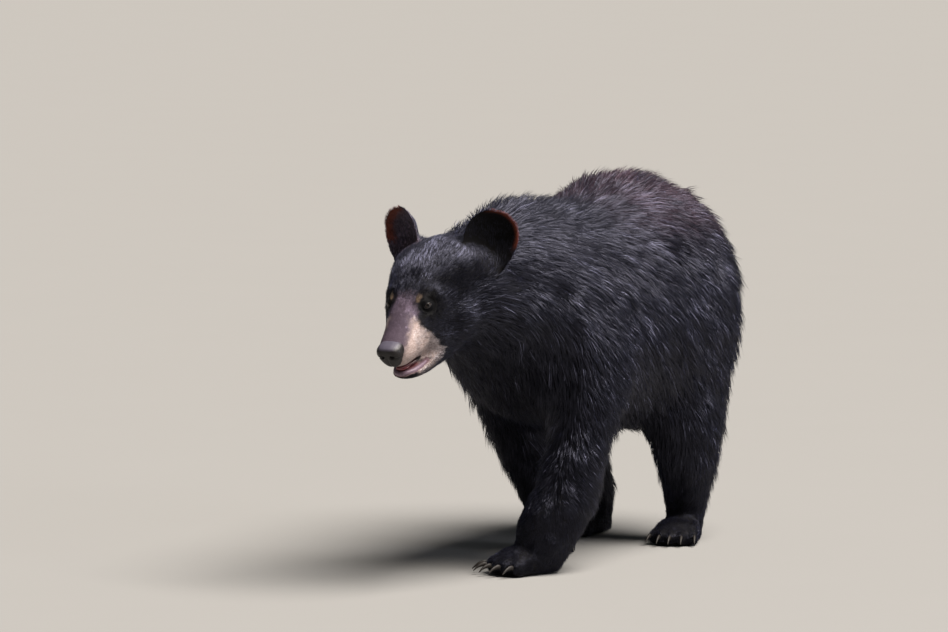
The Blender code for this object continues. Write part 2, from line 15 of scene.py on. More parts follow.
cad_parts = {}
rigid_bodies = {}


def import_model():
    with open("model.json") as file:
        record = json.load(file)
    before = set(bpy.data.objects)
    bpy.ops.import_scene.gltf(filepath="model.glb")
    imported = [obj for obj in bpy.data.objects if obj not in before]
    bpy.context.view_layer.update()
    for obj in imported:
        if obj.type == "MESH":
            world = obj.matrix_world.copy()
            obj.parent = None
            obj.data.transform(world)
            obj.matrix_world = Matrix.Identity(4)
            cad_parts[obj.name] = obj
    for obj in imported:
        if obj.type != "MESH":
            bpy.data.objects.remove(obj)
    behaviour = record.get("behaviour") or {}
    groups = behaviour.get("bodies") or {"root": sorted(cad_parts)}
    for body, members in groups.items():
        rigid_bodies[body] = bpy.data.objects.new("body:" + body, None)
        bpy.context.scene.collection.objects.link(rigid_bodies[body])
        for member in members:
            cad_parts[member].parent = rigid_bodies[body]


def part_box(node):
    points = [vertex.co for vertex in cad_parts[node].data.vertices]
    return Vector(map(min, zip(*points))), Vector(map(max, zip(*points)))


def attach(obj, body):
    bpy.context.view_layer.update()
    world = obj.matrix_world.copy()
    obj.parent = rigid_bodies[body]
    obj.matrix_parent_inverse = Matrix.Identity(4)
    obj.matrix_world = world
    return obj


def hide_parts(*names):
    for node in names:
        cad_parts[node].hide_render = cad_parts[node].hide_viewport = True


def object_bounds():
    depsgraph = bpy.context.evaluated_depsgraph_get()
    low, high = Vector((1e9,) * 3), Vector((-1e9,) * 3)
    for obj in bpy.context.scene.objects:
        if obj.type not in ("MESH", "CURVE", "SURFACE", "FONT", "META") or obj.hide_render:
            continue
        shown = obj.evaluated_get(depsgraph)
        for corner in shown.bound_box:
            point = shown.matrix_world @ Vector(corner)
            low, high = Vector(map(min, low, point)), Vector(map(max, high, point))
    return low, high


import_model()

CAD_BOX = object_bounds()
MM = 0.001
RNG = np.random.default_rng(7)

# ---------------------------------------------------------------- the bear's nodes

PAWS = ("forepaw_left", "forepaw_right", "hindpaw_left", "hindpaw_right")
LEGS = ("foreleg_left", "foreleg_right", "hindleg_left", "hindleg_right")
EARS = ("ear_left", "ear_right")
EYE_NODES = ("eye_left", "eye_right")
TRUNK = ("neck", "chest", "barrel", "hindquarters", "tail")
FLESH = ("head", "lower_jaw", *TRUNK, *LEGS, *PAWS, *EARS)
TOES = 5

# ---------------------------------------------------------------- driving sizes

SKIN_VOXEL = 3.4 * MM  # fine enough to keep the mouth open and the ears thin
SKIN_TRIANGLES = 120000
SMOOTHING = 260
TUFT_LAYERS = 2.35  # how many tufts lie over each spot of skin
TUFT_WIDTH = (0.50 * MM, 0.027)  # a tuft's width: a least value, and a share of its length
BENT_FROM = 23 * MM  # longer tufts may have a bend in them, and shorter ones are straight
BENT_SHARE = 0.36  # of the long tufts: the guard hair, over a straight and shorter undercoat
MOST_TUFTS = (1500000, 620000)  # on a square metre of the face, and elsewhere
GUARD_LENGTH, GUARD_WIDTH = 1.26, 0.80  # guard hair is longer and thinner than the hair under it
UNDER_LENGTH, UNDER_LIFT = 0.86, 0.84
CLUMP = 0.36  # how far the tips of one lock draw together
SKIN_INSET = 0.82  # the skin lies this share of the coat's depth below the solids
LOWEST_HAIR = 1.2 * MM
PATCH = 0.003  # each tuft's place on its map for baking
ROOT_SINK = 0.7 * MM
NAP_SHARE = 0.74  # how far a tuft's shading follows the lie of the coat and not its own flat sides
NAP_TURN = 0.42  # how far, in radians, that nap turns round the tuft from one tuft to the next
WIDEST_HAIR = 10 * MM  # no hair stands out to the sides further than this from the solids' box

HEAD_PITCH = math.radians(30)  # the head's own forward axis points this far below the horizontal
EYE_RADIUS = 9.4 * MM
NOSE_DROP = 11 * MM
NOSE_PROUD = 1.4 * MM
EYE_SEAT = (1.5 * MM, -3.0 * MM)  # forward and up of the eyes, in the head's frame
EYE_DEEP = 1.0 * MM  # how much deeper the ball sits than its solid
LID_LENGTH, LID_OPENING = 7.6 * MM, 3.9 * MM  # half the eye's opening, along and across
LID_RIM = 0.7 * MM
LID_COVER = 0.9 * MM
EYE_FACING = (0.60, 0.68, 0.40)  # forward, outwards, up
GUIDE_BLUR, GUIDE_FALL = 0.012, 2.2  # how near a guide counts wholly, and how fast it then fades

SUN_FROM, SUN_POWER, SUN_WIDTH = (0.45, -0.02, 0.89), 9.4, math.radians(42)
FILL_PLACE, FILL_SIZE, FILL_POWER = (5.4, 0.4, 1.7), 2.2, 72
SKY_POWER = 0.12
CAMERA_PLACE, CAMERA_AIM, CAMERA_LENS = (5.2283, -10.5444, 1.4942), (-0.1989, 0.1070, 0.4483), 236.96
EYE_SLIT = (-0.80, 0.60, 0.26)  # from the inner corner of the eye to the outer one

# ---------------------------------------------------------------- tools


def nothing_selected():
    bpy.ops.object.select_all(action="DESELECT")


def only(piece):
    """Makes this piece the one that operators act on."""
    nothing_selected()
    piece.select_set(True)
    bpy.context.view_layer.objects.active = piece
    return piece


def copy_of(names, name):
    """One object made of copies of these nodes, with the doubles of their loose triangles merged."""
    nothing_selected()
    for node in names:
        source = bpy.data.objects[node]
        copy = bpy.data.objects.new(node + "_copy", source.data.copy())
        bpy.context.scene.collection.objects.link(copy)
        copy.select_set(True)
        bpy.context.view_layer.objects.active = copy
    if len(names) > 1:
        bpy.ops.object.join()
    piece = bpy.context.view_layer.objects.active
    piece.name = piece.data.name = name
    piece.data.materials.clear()
    bpy.ops.object.mode_set(mode="EDIT")
    bpy.ops.mesh.select_all(action="SELECT")
    bpy.ops.mesh.remove_doubles(threshold=0.00001)
    bpy.ops.object.mode_set(mode="OBJECT")
    return piece


def applied(piece, kind, **settings):
    """Adds a modifier with its settings and applies it."""
    only(piece)
    modifier = piece.modifiers.new(kind.lower(), kind)
    for setting, value in settings.items():
        setattr(modifier, setting, value)
    bpy.ops.object.modifier_apply(modifier=modifier.name)
    return piece


def points(piece):
    found = np.empty(len(piece.data.vertices) * 3)
    piece.data.vertices.foreach_get("co", found)
    return found.reshape(-1, 3)


def move_points(piece, places):
    piece.data.vertices.foreach_set("co", np.ascontiguousarray(places, dtype=np.float32).ravel())
    piece.data.update()


def normals(piece):
    found = np.empty(len(piece.data.vertices) * 3)
    piece.data.vertices.foreach_get("normal", found)
    return unit(found.reshape(-1, 3))


def unit(rows):
    rows = np.asarray(rows, dtype=float)
    return rows / np.maximum(np.linalg.norm(rows, axis=-1, keepdims=True), 1e-12)


def smooth_step(value, low, high):
    share = np.clip((np.asarray(value, dtype=float) - low) / (high - low), 0, 1)
    return share * share * (3 - 2 * share)


def weigh(piece, name, weights):
    """A vertex group with one weight for each point."""
    group = piece.vertex_groups.new(name=name)
    levels = np.round(np.clip(weights, 0, 1) * 20).astype(int)
    for level in range(1, 21):
        group.add(np.nonzero(levels == level)[0].tolist(), level / 20, "REPLACE")
    return name


def store(mesh, name, values):
    """A number or a vector for each point of the mesh, which its material reads by this name."""
    values = np.ascontiguousarray(values, dtype=np.float32)
    if values.ndim == 1:
        mesh.attributes.new(name, "FLOAT", "POINT").data.foreach_set("value", values)
    else:
        mesh.attributes.new(name, "FLOAT_VECTOR", "POINT").data.foreach_set("vector", values.ravel())


def wander(places, scale, seed, waves=14):
    """A smooth random number between about -1 and 1 that changes over this distance."""
    draw = np.random.default_rng(seed)
    along = unit(draw.normal(size=(waves, 3))) * (2 * math.pi / scale) * draw.uniform(0.6, 1.5, (waves, 1))
    return np.sin(places @ along.T + draw.uniform(0, 2 * math.pi, waves)).sum(axis=1) / math.sqrt(waves)


def settled(piece, values, rounds):
    """The values evened out over the surface, each with its neighbours'."""
    edges = np.empty(len(piece.data.edges) * 2, dtype=np.int64)
    piece.data.edges.foreach_get("vertices", edges)
    one, other = edges.reshape(-1, 2).T
    count = len(piece.data.vertices)
    share = np.maximum(np.bincount(one, minlength=count) + np.bincount(other, minlength=count), 1)
    values = np.array(values, dtype=float).reshape(count, -1)
    for _ in range(rounds):
        for column in range(values.shape[1]):
            now = values[:, column]
            spread = (np.bincount(one, weights=now[other], minlength=count)
                      + np.bincount(other, weights=now[one], minlength=count))
            values[:, column] = 0.5 * now + 0.5 * spread / share
    return values


# ---------------------------------------------------------------- the head's own frame

EYES = [(Vector(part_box(name)[0]) + Vector(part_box(name)[1])) / 2 for name in ("eye_left", "eye_right")]
EYE_OUT = EYES[0].x
FORWARD = np.array((0, -math.cos(HEAD_PITCH), -math.sin(HEAD_PITCH)))
LEFT = np.array((1.0, 0, 0))
UP = np.array((0, -math.sin(HEAD_PITCH), math.cos(HEAD_PITCH)))
MID_EYES = np.array((EYES[0] + EYES[1]) / 2) - FORWARD * EYE_SEAT[0] - UP * EYE_SEAT[1]
HEAD_AXES = np.array((FORWARD, LEFT, UP))


def head_place(forward, left, up):
    """A place given in the head's frame, measured from between the eyes."""
    return MID_EYES + np.array((forward, left, up)) @ HEAD_AXES


def eye_place(side):
    return head_place(EYE_SEAT[0], EYE_OUT * side, EYE_SEAT[1])


def from_eyes(places):
    """How far each place is from the nearer eye."""
    return np.minimum(*(np.linalg.norm(places - eye_place(side), axis=1) for side in (1, -1)))


def in_head(places):
    """Forward, left and up of each place, in the head's frame."""
    return (np.asarray(places) - MID_EYES) @ HEAD_AXES.T


def spot(node, share):
    """A place in a node's box, by its share of each side."""
    low, high = (np.array(corner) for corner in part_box(node))
    return low + (high - low) * np.array(share)


# ---------------------------------------------------------------- how the coat lies

# (forward, left, up), the way the hair lies there in the head's frame, depth and length in mm
HEAD_LIE = (
    ((0.090, 0.000, -0.016), (-1, 0, 0.10), 0.6, 3.2),  # behind the nose
    ((0.050, 0.000, 0.002), (-1, 0, 0.25), 0.9, 4.0),  # bridge
    ((0.090, 0.028, -0.050), (-1, 0.15, -0.20), 0.9, 3.6),  # front of the muzzle
    ((0.050, 0.040, -0.052), (-1, 0.10, -0.30), 1.3, 4.8),  # side of the muzzle
    ((0.055, 0.032, -0.080), (-0.8, 0, -0.60), 1.0, 4.2),  # upper lip
    ((0.018, 0.046, -0.075), (-1, 0.10, -0.30), 2.0, 7.0),
    ((0.014, 0.013, 0.014), (-1, 0.12, 0.45), 1.6, 6.0),  # between the eyes
    ((-0.002, 0.052, -0.032), (-1, 0.10, -0.25), 2.2, 8.0),  # under the eye
    ((-0.024, 0.030, 0.032), (-1, 0.35, 0.45), 3.0, 10.0),  # brow
    ((-0.050, 0.000, 0.046), (-1, 0, 0.25), 4.5, 13.0),  # forehead
    ((-0.050, 0.068, 0.000), (-1, 0.30, -0.05), 4.5, 14.0),  # temple
    ((-0.120, 0.000, 0.050), (-1, 0, 0), 7.5, 20.0),  # crown
    ((-0.100, 0.050, 0.038), (-1, 0.30, 0), 6.0, 17.0),
    ((-0.060, 0.078, -0.060), (-1, 0.20, -0.35), 6.0, 18.0),  # cheek
    ((-0.045, 0.056, -0.115), (-1, 0.10, -0.55), 6.5, 19.0),
    ((-0.110, 0.098, -0.060), (-1, 0.20, -0.50), 10.0, 27.0),
    ((-0.150, 0.105, -0.090), (-0.8, 0.15, -0.90), 16.0, 44.0),  # ruff
    ((-0.140, 0.072, -0.150), (-0.7, 0.05, -0.90), 16.0, 44.0),
    ((0.085, 0.000, -0.103), (-1, 0, -0.10), 1.0, 4.0),  # chin
    ((0.040, 0.034, -0.112), (-1, 0.05, -0.25), 1.6, 6.0),
    ((0.000, 0.000, -0.142), (-1, 0, -0.20), 4.0, 12.0),
    ((-0.080, 0.000, -0.165), (-1, 0, -0.35), 9.0, 24.0),  # throat
)
# node, share of its box, the way the hair lies in the bear's frame, depth and length in mm
TRUNK_LIE = (
    ("neck", (0.50, 0.50, 1.00), (0, 1, -0.10), 17, 40),
    ("neck", (0.86, 0.50, 0.80), (0.30, 0.75, -0.75), 17, 40),
    ("neck", (1.00, 0.50, 0.50), (0.05, 0.55, -1), 17, 42),
    ("neck", (0.80, 0.50, 0.15), (0, 0.5, -1), 16, 40),
    ("neck", (0.50, 0.40, 0.00), (0, 0.8, -0.70), 15, 38),
    ("chest", (0.50, 0.03, 0.45), (0, 0.4, -1), 17, 46),  # front of the chest
    ("chest", (0.72, 0.08, 0.30), (0, 0.3, -1), 16, 44),
    ("chest", (0.50, 0.35, 1.00), (0, 1, -0.05), 16, 42),  # withers
    ("chest", (0.80, 0.35, 0.88), (0.45, 0.50, -0.90), 15, 38),
    ("chest", (0.97, 0.30, 0.62), (0.1, 0.35, -1), 13, 34),  # shoulder
    ("chest", (0.97, 0.30, 0.25), (0, 0.35, -1), 12, 30),
    ("chest", (1.00, 0.80, 0.60), (0.05, 0.40, -1), 13, 36),  # ribs
    ("chest", (0.90, 0.85, 0.18), (-0.2, 0.7, -0.80), 15, 46),
    ("chest", (0.50, 0.60, 0.00), (0, 1, -0.10), 13, 38),
    ("barrel", (0.50, 0.50, 1.00), (0, 1, 0), 14, 38),  # back
    ("barrel", (0.85, 0.50, 0.86), (0.5, 0.65, -0.80), 14, 36),
    ("barrel", (1.00, 0.50, 0.55), (0.05, 0.40, -1), 13, 36),  # flank
    ("barrel", (0.90, 0.50, 0.14), (-0.2, 0.7, -0.80), 16, 48),
    ("barrel", (0.50, 0.50, 0.00), (0, 1, -0.10), 13, 38),  # belly
    ("hindquarters", (0.50, 0.25, 1.00), (0, 1, -0.10), 14, 38),  # loin
    ("hindquarters", (0.85, 0.30, 0.86), (0.4, 0.7, -0.70), 13, 36),
    ("hindquarters", (1.00, 0.35, 0.55), (0.05, 0.40, -1), 12, 34),  # haunch
    ("hindquarters", (1.00, 0.35, 0.12), (0, 0.40, -1), 11, 30),
    ("hindquarters", (0.80, 0.80, 0.75), (0.35, 0.7, -0.75), 13, 36),
    ("hindquarters", (0.80, 0.92, 0.40), (0.1, 0.3, -1), 14, 42),  # rump
    ("hindquarters", (0.50, 1.00, 0.55), (0, 0.2, -1), 13, 36),
    ("hindquarters", (0.60, 0.75, 0.10), (0, 0.2, -1), 10, 28),
    ("tail", (0.50, 1.00, 0.70), (0, 0.3, -1), 12, 38),
    ("tail", (0.50, 0.80, 0.00), (0, 0.1, -1), 12, 40),
)
# the same for each leg and paw, where a share of 1 across the box is outwards
LEG_LIE = (
    ("foreleg", (1.00, 0.60, 0.95), (0, 0.35, -1), 10, 28),
    ("foreleg", (0.60, 1.00, 0.90), (0, 0.90, -0.6), 11, 36),  # elbow
    ("foreleg", (0.60, 0.10, 0.70), (0, 0.25, -1), 8, 24),
    ("foreleg", (1.00, 0.40, 0.45), (0, 0.60, -0.8), 7.5, 24),
    ("foreleg", (0.50, 0.75, 0.35), (0, 0.95, -0.6), 8.5, 28),
    ("foreleg", (0.50, 0.30, 0.05), (0, 0.10, -1), 5, 14),  # wrist
    ("hindleg", (1.00, 0.50, 0.95), (0, 0.30, -1), 10, 28),
    ("hindleg", (0.60, 1.00, 0.75), (0, 0.55, -1), 12, 38),
    ("hindleg", (0.60, 0.10, 0.70), (0, -0.10, -1), 11, 34),
    ("hindleg", (0.50, 0.90, 0.25), (0, 0.35, -1), 8, 24),  # hock
    ("hindleg", (1.00, 0.50, 0.25), (0, 0.20, -1), 6, 18),
    ("forepaw", (0.50, 0.60, 1.00), (0, -0.5, -0.8), 4, 11),
    ("forepaw", (0.50, 0.20, 0.60), (0, -1, -0.4), 2.6, 7),
    ("forepaw", (0.50, 1.00, 0.50), (0, 0.3, -1), 4, 11),
    ("hindpaw", (0.50, 0.50, 1.00), (0, -0.7, -0.6), 4, 11),
    ("hindpaw", (0.50, 0.15, 0.60), (0, -1, -0.4), 2.6, 7),
    ("hindpaw", (0.50, 1.00, 0.50), (0, 0.2, -1), 4, 11),
)
EAR_LIE = (  # on both faces of each ear
    ((0.50, 0.50, 1.00), (0.15, 0, 1), 1.6, 7),
    ((0.95, 0.50, 0.60), (0.8, 0.1, 0.7), 1.6, 8),
    ((0.15, 0.50, 0.60), (-0.3, 0, 1), 2.0, 11),
    ((0.50, 0.50, 0.35), (0.1, 0, 1), 2.2, 11),
)


def guides():
    """Every guide as its place, the way the hair lies, its depth and its length."""
    rows = []
    for place, lie, depth, length in HEAD_LIE:
        for side in (1, -1):
            rows.append((head_place(place[0], place[1] * side, place[2]),
                         np.array((lie[0], lie[1] * side, lie[2])) @ HEAD_AXES, depth, length))
    # each guide in a node's box, on the left and mirrored to the right
    pairs = [(node, node, *rest) for node, *rest in TRUNK_LIE]
    pairs += [(limb + "_left", limb + "_right", *rest) for limb, *rest in LEG_LIE]
    pairs += [(*EARS, *rest) for rest in EAR_LIE]
    for left_node, right_node, share, lie, depth, length in pairs:
        for side, node_name in ((1, left_node), (-1, right_node)):
            across = 0.5 + (share[0] - 0.5) * side
            rows.append((spot(node_name, (across, *share[1:])), np.array((lie[0] * side, *lie[1:])),
                         depth, length))
    places, ways, depths, lengths = zip(*rows)
    return np.array(places), unit(np.array(ways)), np.array(depths) * MM, np.array(lengths) * MM


def lie_of_the_coat(places):
    """The way the hair lies at each place, and the coat's depth and the hair's length there."""
    spots, ways, depths, lengths = guides()
    found = np.empty((len(places), 5))
    values = np.column_stack((ways, depths, lengths))
    for start in range(0, len(places), 20000):
        part = places[start:start + 20000]
        apart = ((part[:, None, :] - spots[None]) ** 2).sum(axis=2)
        near = 1 / (apart + GUIDE_BLUR ** 2) ** GUIDE_FALL
        found[start:start + 20000] = (near @ values) / near.sum(axis=1, keepdims=True)
    return found[:, :3], found[:, 3], found[:, 4]


# ---------------------------------------------------------------- the skin


def nearest_nodes(places):
    """The number of the node of flesh that each place is nearest to."""
    trees = [tree_of(name) for name in FLESH]
    found = np.zeros(len(places), dtype=int)
    for i, place in enumerate(places):
        best = 1e9
        for number, tree in enumerate(trees):
            away = tree.find_nearest(Vector(place), best)[3]
            if away is not None and away < best:
                best, found[i] = away, number
    return found


def keep_largest(piece):
    """Removes loose bits that are not part of the main body."""
    shape = bmesh.new()
    shape.from_mesh(piece.data)
    left = set(shape.verts)
    groups = []
    while left:
        stack = [left.pop()]
        group = [stack[0]]
        while stack:
            for edge in stack.pop().link_edges:
                for vertex in edge.verts:
                    if vertex in left:
                        left.discard(vertex)
                        group.append(vertex)
                        stack.append(vertex)
        groups.append(group)
    groups.sort(key=len)
    for group in groups[:-1]:
        bmesh.ops.delete(shape, geom=group, context="VERTS")
    shape.to_mesh(piece.data)
    shape.free()


def soft_parts(places):
    """1 where the broad forms are smoothed hard, 0 on the face, ears and paws."""
    face = smooth_step(-in_head(places)[:, 0], 0.10, 0.19)
    paws = smooth_step(places[:, 2], 0.070, 0.115)
    ears = np.ones(len(places))
    for name in EARS:
        low, high = (np.array(corner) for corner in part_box(name))
        outside = np.maximum(np.maximum(low - places, places - high), 0)
        ears = np.minimum(ears, smooth_step(np.linalg.norm(outside, axis=1), 0.004, 0.035))
    return face * paws * ears


def eye_frame(side):
    """The eye's centre, the way it faces, along its slit to the outer corner, and across it."""
    facing = unit(np.array((EYE_FACING[0], EYE_FACING[1] * side, EYE_FACING[2])) @ HEAD_AXES)
    slit = np.array((EYE_SLIT[0], EYE_SLIT[1] * side, EYE_SLIT[2])) @ HEAD_AXES
    slit = unit(slit - facing * (slit @ facing))
    across = unit(np.cross(slit, facing)) * side
    if across @ UP < 0:
        across = -across
    return eye_place(side) - facing * EYE_DEEP, facing, slit, across


def opening_height(along):
    """Half the height of the eye's opening at this place along its slit."""
    return LID_OPENING * np.clip(1 - (along / LID_LENGTH) ** 2, 0, 1) ** 0.75


def shape_lids(places):
    """Draws the skin over each eyeball as lids, under it within the opening, and up to a brow."""
    places = places.copy()
    round_to = 5.2 * MM  # the lids are round this far out and then run down straight to the face
    outside = EYE_RADIUS + LID_COVER
    slope = round_to / math.sqrt(outside ** 2 - round_to ** 2)
    for side in (1, -1):
        centre, facing, slit, across = eye_frame(side)
        offset = places - centre
        height, along, over = offset @ facing, offset @ slit, offset @ across
        around = np.hypot(along, over)
        near = (around < 30 * MM) & (height > -EYE_RADIUS)
        lid = np.sqrt(outside ** 2 - np.minimum(around, round_to) ** 2)
        lid -= slope * np.maximum(around - round_to, 0)
        blend = 1 - smooth_step(around, 8.5 * MM, 19 * MM)
        wanted = height + (lid - height) * blend
        # the fold of the upper lid, the brow over it and the dip before the inner corner
        fold = opening_height(along) + 2.6 * MM
        wanted -= 0.55 * MM * np.exp(-((over - fold) / (0.8 * MM)) ** 2) * (np.abs(along) < LID_LENGTH)
        wanted += 2.6 * MM * np.exp(-((over - 12 * MM) / (5 * MM)) ** 2 - (along / (11 * MM)) ** 2)
        wanted -= 0.9 * MM * np.exp(-((along + 11 * MM) / (3.5 * MM)) ** 2
                                    - ((over + 1 * MM) / (2 * MM)) ** 2)
        inside = smooth_step(opening_height(along) - np.abs(over), -0.3 * MM, 0.9 * MM)
        inside *= np.abs(along) < LID_LENGTH
        wanted = wanted + (np.minimum(wanted, lid - 3.4 * MM) - wanted) * inside
        places[near] += (wanted - height)[near, None] * facing
    return places


def refine(piece, chosen):
    """Cuts the chosen faces finer."""
    shape = bmesh.new()
    shape.from_mesh(piece.data)
    shape.verts.ensure_lookup_table()
    edges = [edge for edge in shape.edges if chosen[edge.verts[0].index] and chosen[edge.verts[1].index]]
    bmesh.ops.subdivide_edges(shape, edges=edges, cuts=1, use_grid_fill=True)
    bmesh.ops.triangulate(shape, faces=[face for face in shape.faces if len(face.verts) > 4])
    shape.to_mesh(piece.data)
    shape.free()


def tree_of(name):
    """A node's surface, for finding the nearest place on it."""
    mesh = bpy.data.objects[name].data
    return BVHTree.FromPolygons([point.co for point in mesh.vertices],
                                [face.vertices for face in mesh.polygons])


def room_for_nose(skin):
    """Sinks the skin under the nose pad, except where the pad's edge sits on it."""
    head = tree_of("head")
    places = points(skin)
    middle = spot("nose", (0.5, 0.5, 0.5))
    for i in np.nonzero(np.linalg.norm(places - middle, axis=1) < 42 * MM)[0]:
        nearest, _, _, away = head.find_nearest(Vector(places[i]))
        share = float(smooth_step(away, 1.8 * MM, 6 * MM))
        places[i] += (np.array(nearest) - places[i]) * share
    move_points(skin, places)


def refilled(skin, solid):
    """Puts back the girth that smoothing takes from the legs and neck, and not the flat faces."""
    places, facing = points(skin), unit(settled(skin, normals(skin), 3))
    lost = np.zeros(len(places))
    for i, place in enumerate(places):
        spot_on, _, _, _ = solid.find_nearest(Vector(place), 40 * MM)
        if spot_on is not None:
            lost[i] = (np.array(spot_on) - place) @ facing[i]
    lost = settled(skin, lost, 45)[:, 0]
    move_points(skin, places + facing * lost[:, None])


def make_skin():
    """One skin over all the flesh, below the coat by its depth, with the face at a finer grain."""
    skin = copy_of((*FLESH, *EYE_NODES, "nose"), "skin")
    applied(skin, "REMESH", mode="VOXEL", voxel_size=SKIN_VOXEL)
    keep_largest(skin)
    places = points(skin)
    solid = BVHTree.FromPolygons([Vector(place) for place in places],
                                 [face.vertices for face in skin.data.polygons])
    soft = weigh(skin, "soft", soft_parts(places))
    applied(skin, "SMOOTH", factor=0.5, iterations=SMOOTHING, vertex_group=soft)
    applied(skin, "SMOOTH", factor=0.5, iterations=3)
    keep = weigh(skin, "coarse", 0.15 + 0.85 * soft_parts(points(skin)))
    applied(skin, "DECIMATE", ratio=SKIN_TRIANGLES / (2 * len(skin.data.polygons)), vertex_group=keep)
    skin.vertex_groups.clear()
    refilled(skin, solid)
    places = points(skin)
    _, depth, _ = lie_of_the_coat(places)
    depth = settled(skin, depth, 12)[:, 0]
    nose_away = np.linalg.norm(places - spot("nose", (0.5, 0.5, 0.5)), axis=1)
    depth *= smooth_step(nose_away, 0.020, 0.040)
    facing = unit(settled(skin, normals(skin), 4))
    lowest = CAD_BOX[0][2]
    places = places - facing * depth[:, None] * SKIN_INSET
    places[:, 2] = np.maximum(places[:, 2], lowest)
    move_points(skin, places)
    applied(skin, "SMOOTH", factor=0.5, iterations=2)
    room_for_nose(skin)
    for reach in (30 * MM, 17 * MM):
        refine(skin, from_eyes(points(skin)) < reach)
    move_points(skin, shape_lids(points(skin)))
    bpy.ops.object.shade_smooth()
    return skin


# ---------------------------------------------------------------- markings

TAN_BACK = ((-0.118, -0.003), (-0.105, -0.012), (-0.085, 0.006), (-0.069, 0.013), (-0.049, 0.025),
            (-0.028, 0.038), (-0.004, 0.036))  # (up, forward) of the back edge of the tan muzzle
LIP_LINE = ((0.000, -0.102), (0.014, -0.099), (0.041, -0.0915), (0.076, -0.0850), (0.114, -0.0790))
# (forward, left, up) along the lower lip from the corner of the mouth to its middle, and its girth
LOWER_LIP = ((0.036, 0.0288, -0.0980), (0.045, 0.0270, -0.0975),
             (0.060, 0.0240, -0.0965), (0.075, 0.0195, -0.0945), (0.086, 0.0130, -0.0930),
             (0.0925, 0.0060, -0.0925), (0.0940, 0.0, -0.0925))
LIP_RADIUS, LIP_SUNK = 4.2 * MM, 0.42
LIP_SIZE = (0.30, 0.75, 1.0, 1.05, 1.0, 1.0, 1.0)


def lip_path(steps=6):
    """Fine places along half the lower lip in the head's frame, each with its girth."""
    rows = np.column_stack((LOWER_LIP, LIP_SIZE))
    fine = []
    for i in range(len(rows) - 1):
        one, two = rows[i], rows[i + 1]
        before, after = rows[max(i - 1, 0)], rows[min(i + 2, len(rows) - 1)]
        for t in np.arange(steps) / steps:
            fine.append(0.5 * (2 * one + (two - before) * t
                               + (2 * before - 5 * one + 4 * two - after) * t ** 2
                               + (3 * one - before - 3 * two + after) * t ** 3))
    return np.array([*fine, rows[-1]])


LIP_TREE = KDTree(len(lip_path()))
for number, row in enumerate(lip_path()):
    LIP_TREE.insert(row[:3], number)
LIP_TREE.balance()


def ear_face(name):
    """An ear's middle, and the way its hollow faces."""
    places = points(bpy.data.objects[name])
    middle = places.mean(axis=0)
    _, _, axes = np.linalg.svd(places - middle, full_matrices=False)
    return middle, axes[2] if axes[2][1] < 0 else -axes[2]


def in_ear(name, places):
    """Whether each place is in this ear's box, or 3 mm round it."""
    low, high = (np.array(corner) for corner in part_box(name))
    return np.all((places > low - 3 * MM) & (places < high + 3 * MM), axis=1)


# where the rim's brown-red starts and over what width it comes in, partly the hair's own brown and partly a
# painted glow of light through the ear's thin edge, and how much painted shade blackens the hollow
EAR_MARKS = {"ear_left": (0.0410, 0.006, 1.0), "ear_right": (0.0290, 0.014, 0.0)}
BROW_SPOTS = (0.0245, -0.0310)  # left of the middle


def ear_marks(places, facing_way):
    """How near the ear's rim each place is, and whether it is in the hollow, weighted by the painted shade
    that blackens it.
    """
    rim = np.zeros(len(places))
    hollow = np.zeros(len(places))
    for name in EARS:
        inside = in_ear(name, places)
        middle, facing = ear_face(name)
        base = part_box(name)[0][2]
        flat = places - spot(name, (0.5, 0.5, 0.60))
        flat = flat - np.outer(flat @ facing, facing)
        reach = np.linalg.norm(flat, axis=1)
        high_enough = smooth_step(places[:, 2], base + 0.045, base + 0.065)
        outwards = (places[:, 0] - middle[0]) * np.sign(middle[0])
        outer = smooth_step(outwards, -0.012, 0.016)
        rim_from, rim_width, hollow_painted_shade = EAR_MARKS[name]
        # the rim: partly the hair's own brown, partly a painted glow of light through the thin edge
        edge_on = smooth_step(reach, rim_from, rim_from + rim_width)
        rim = np.maximum(rim, inside * high_enough * outer * edge_on)
        # painted shade: the hollow of the left ear is blackened, the right ear's not at all
        hollow = np.maximum(hollow, inside * smooth_step(facing_way @ facing, 0.1, 0.5) * hollow_painted_shade)
    return rim, hollow


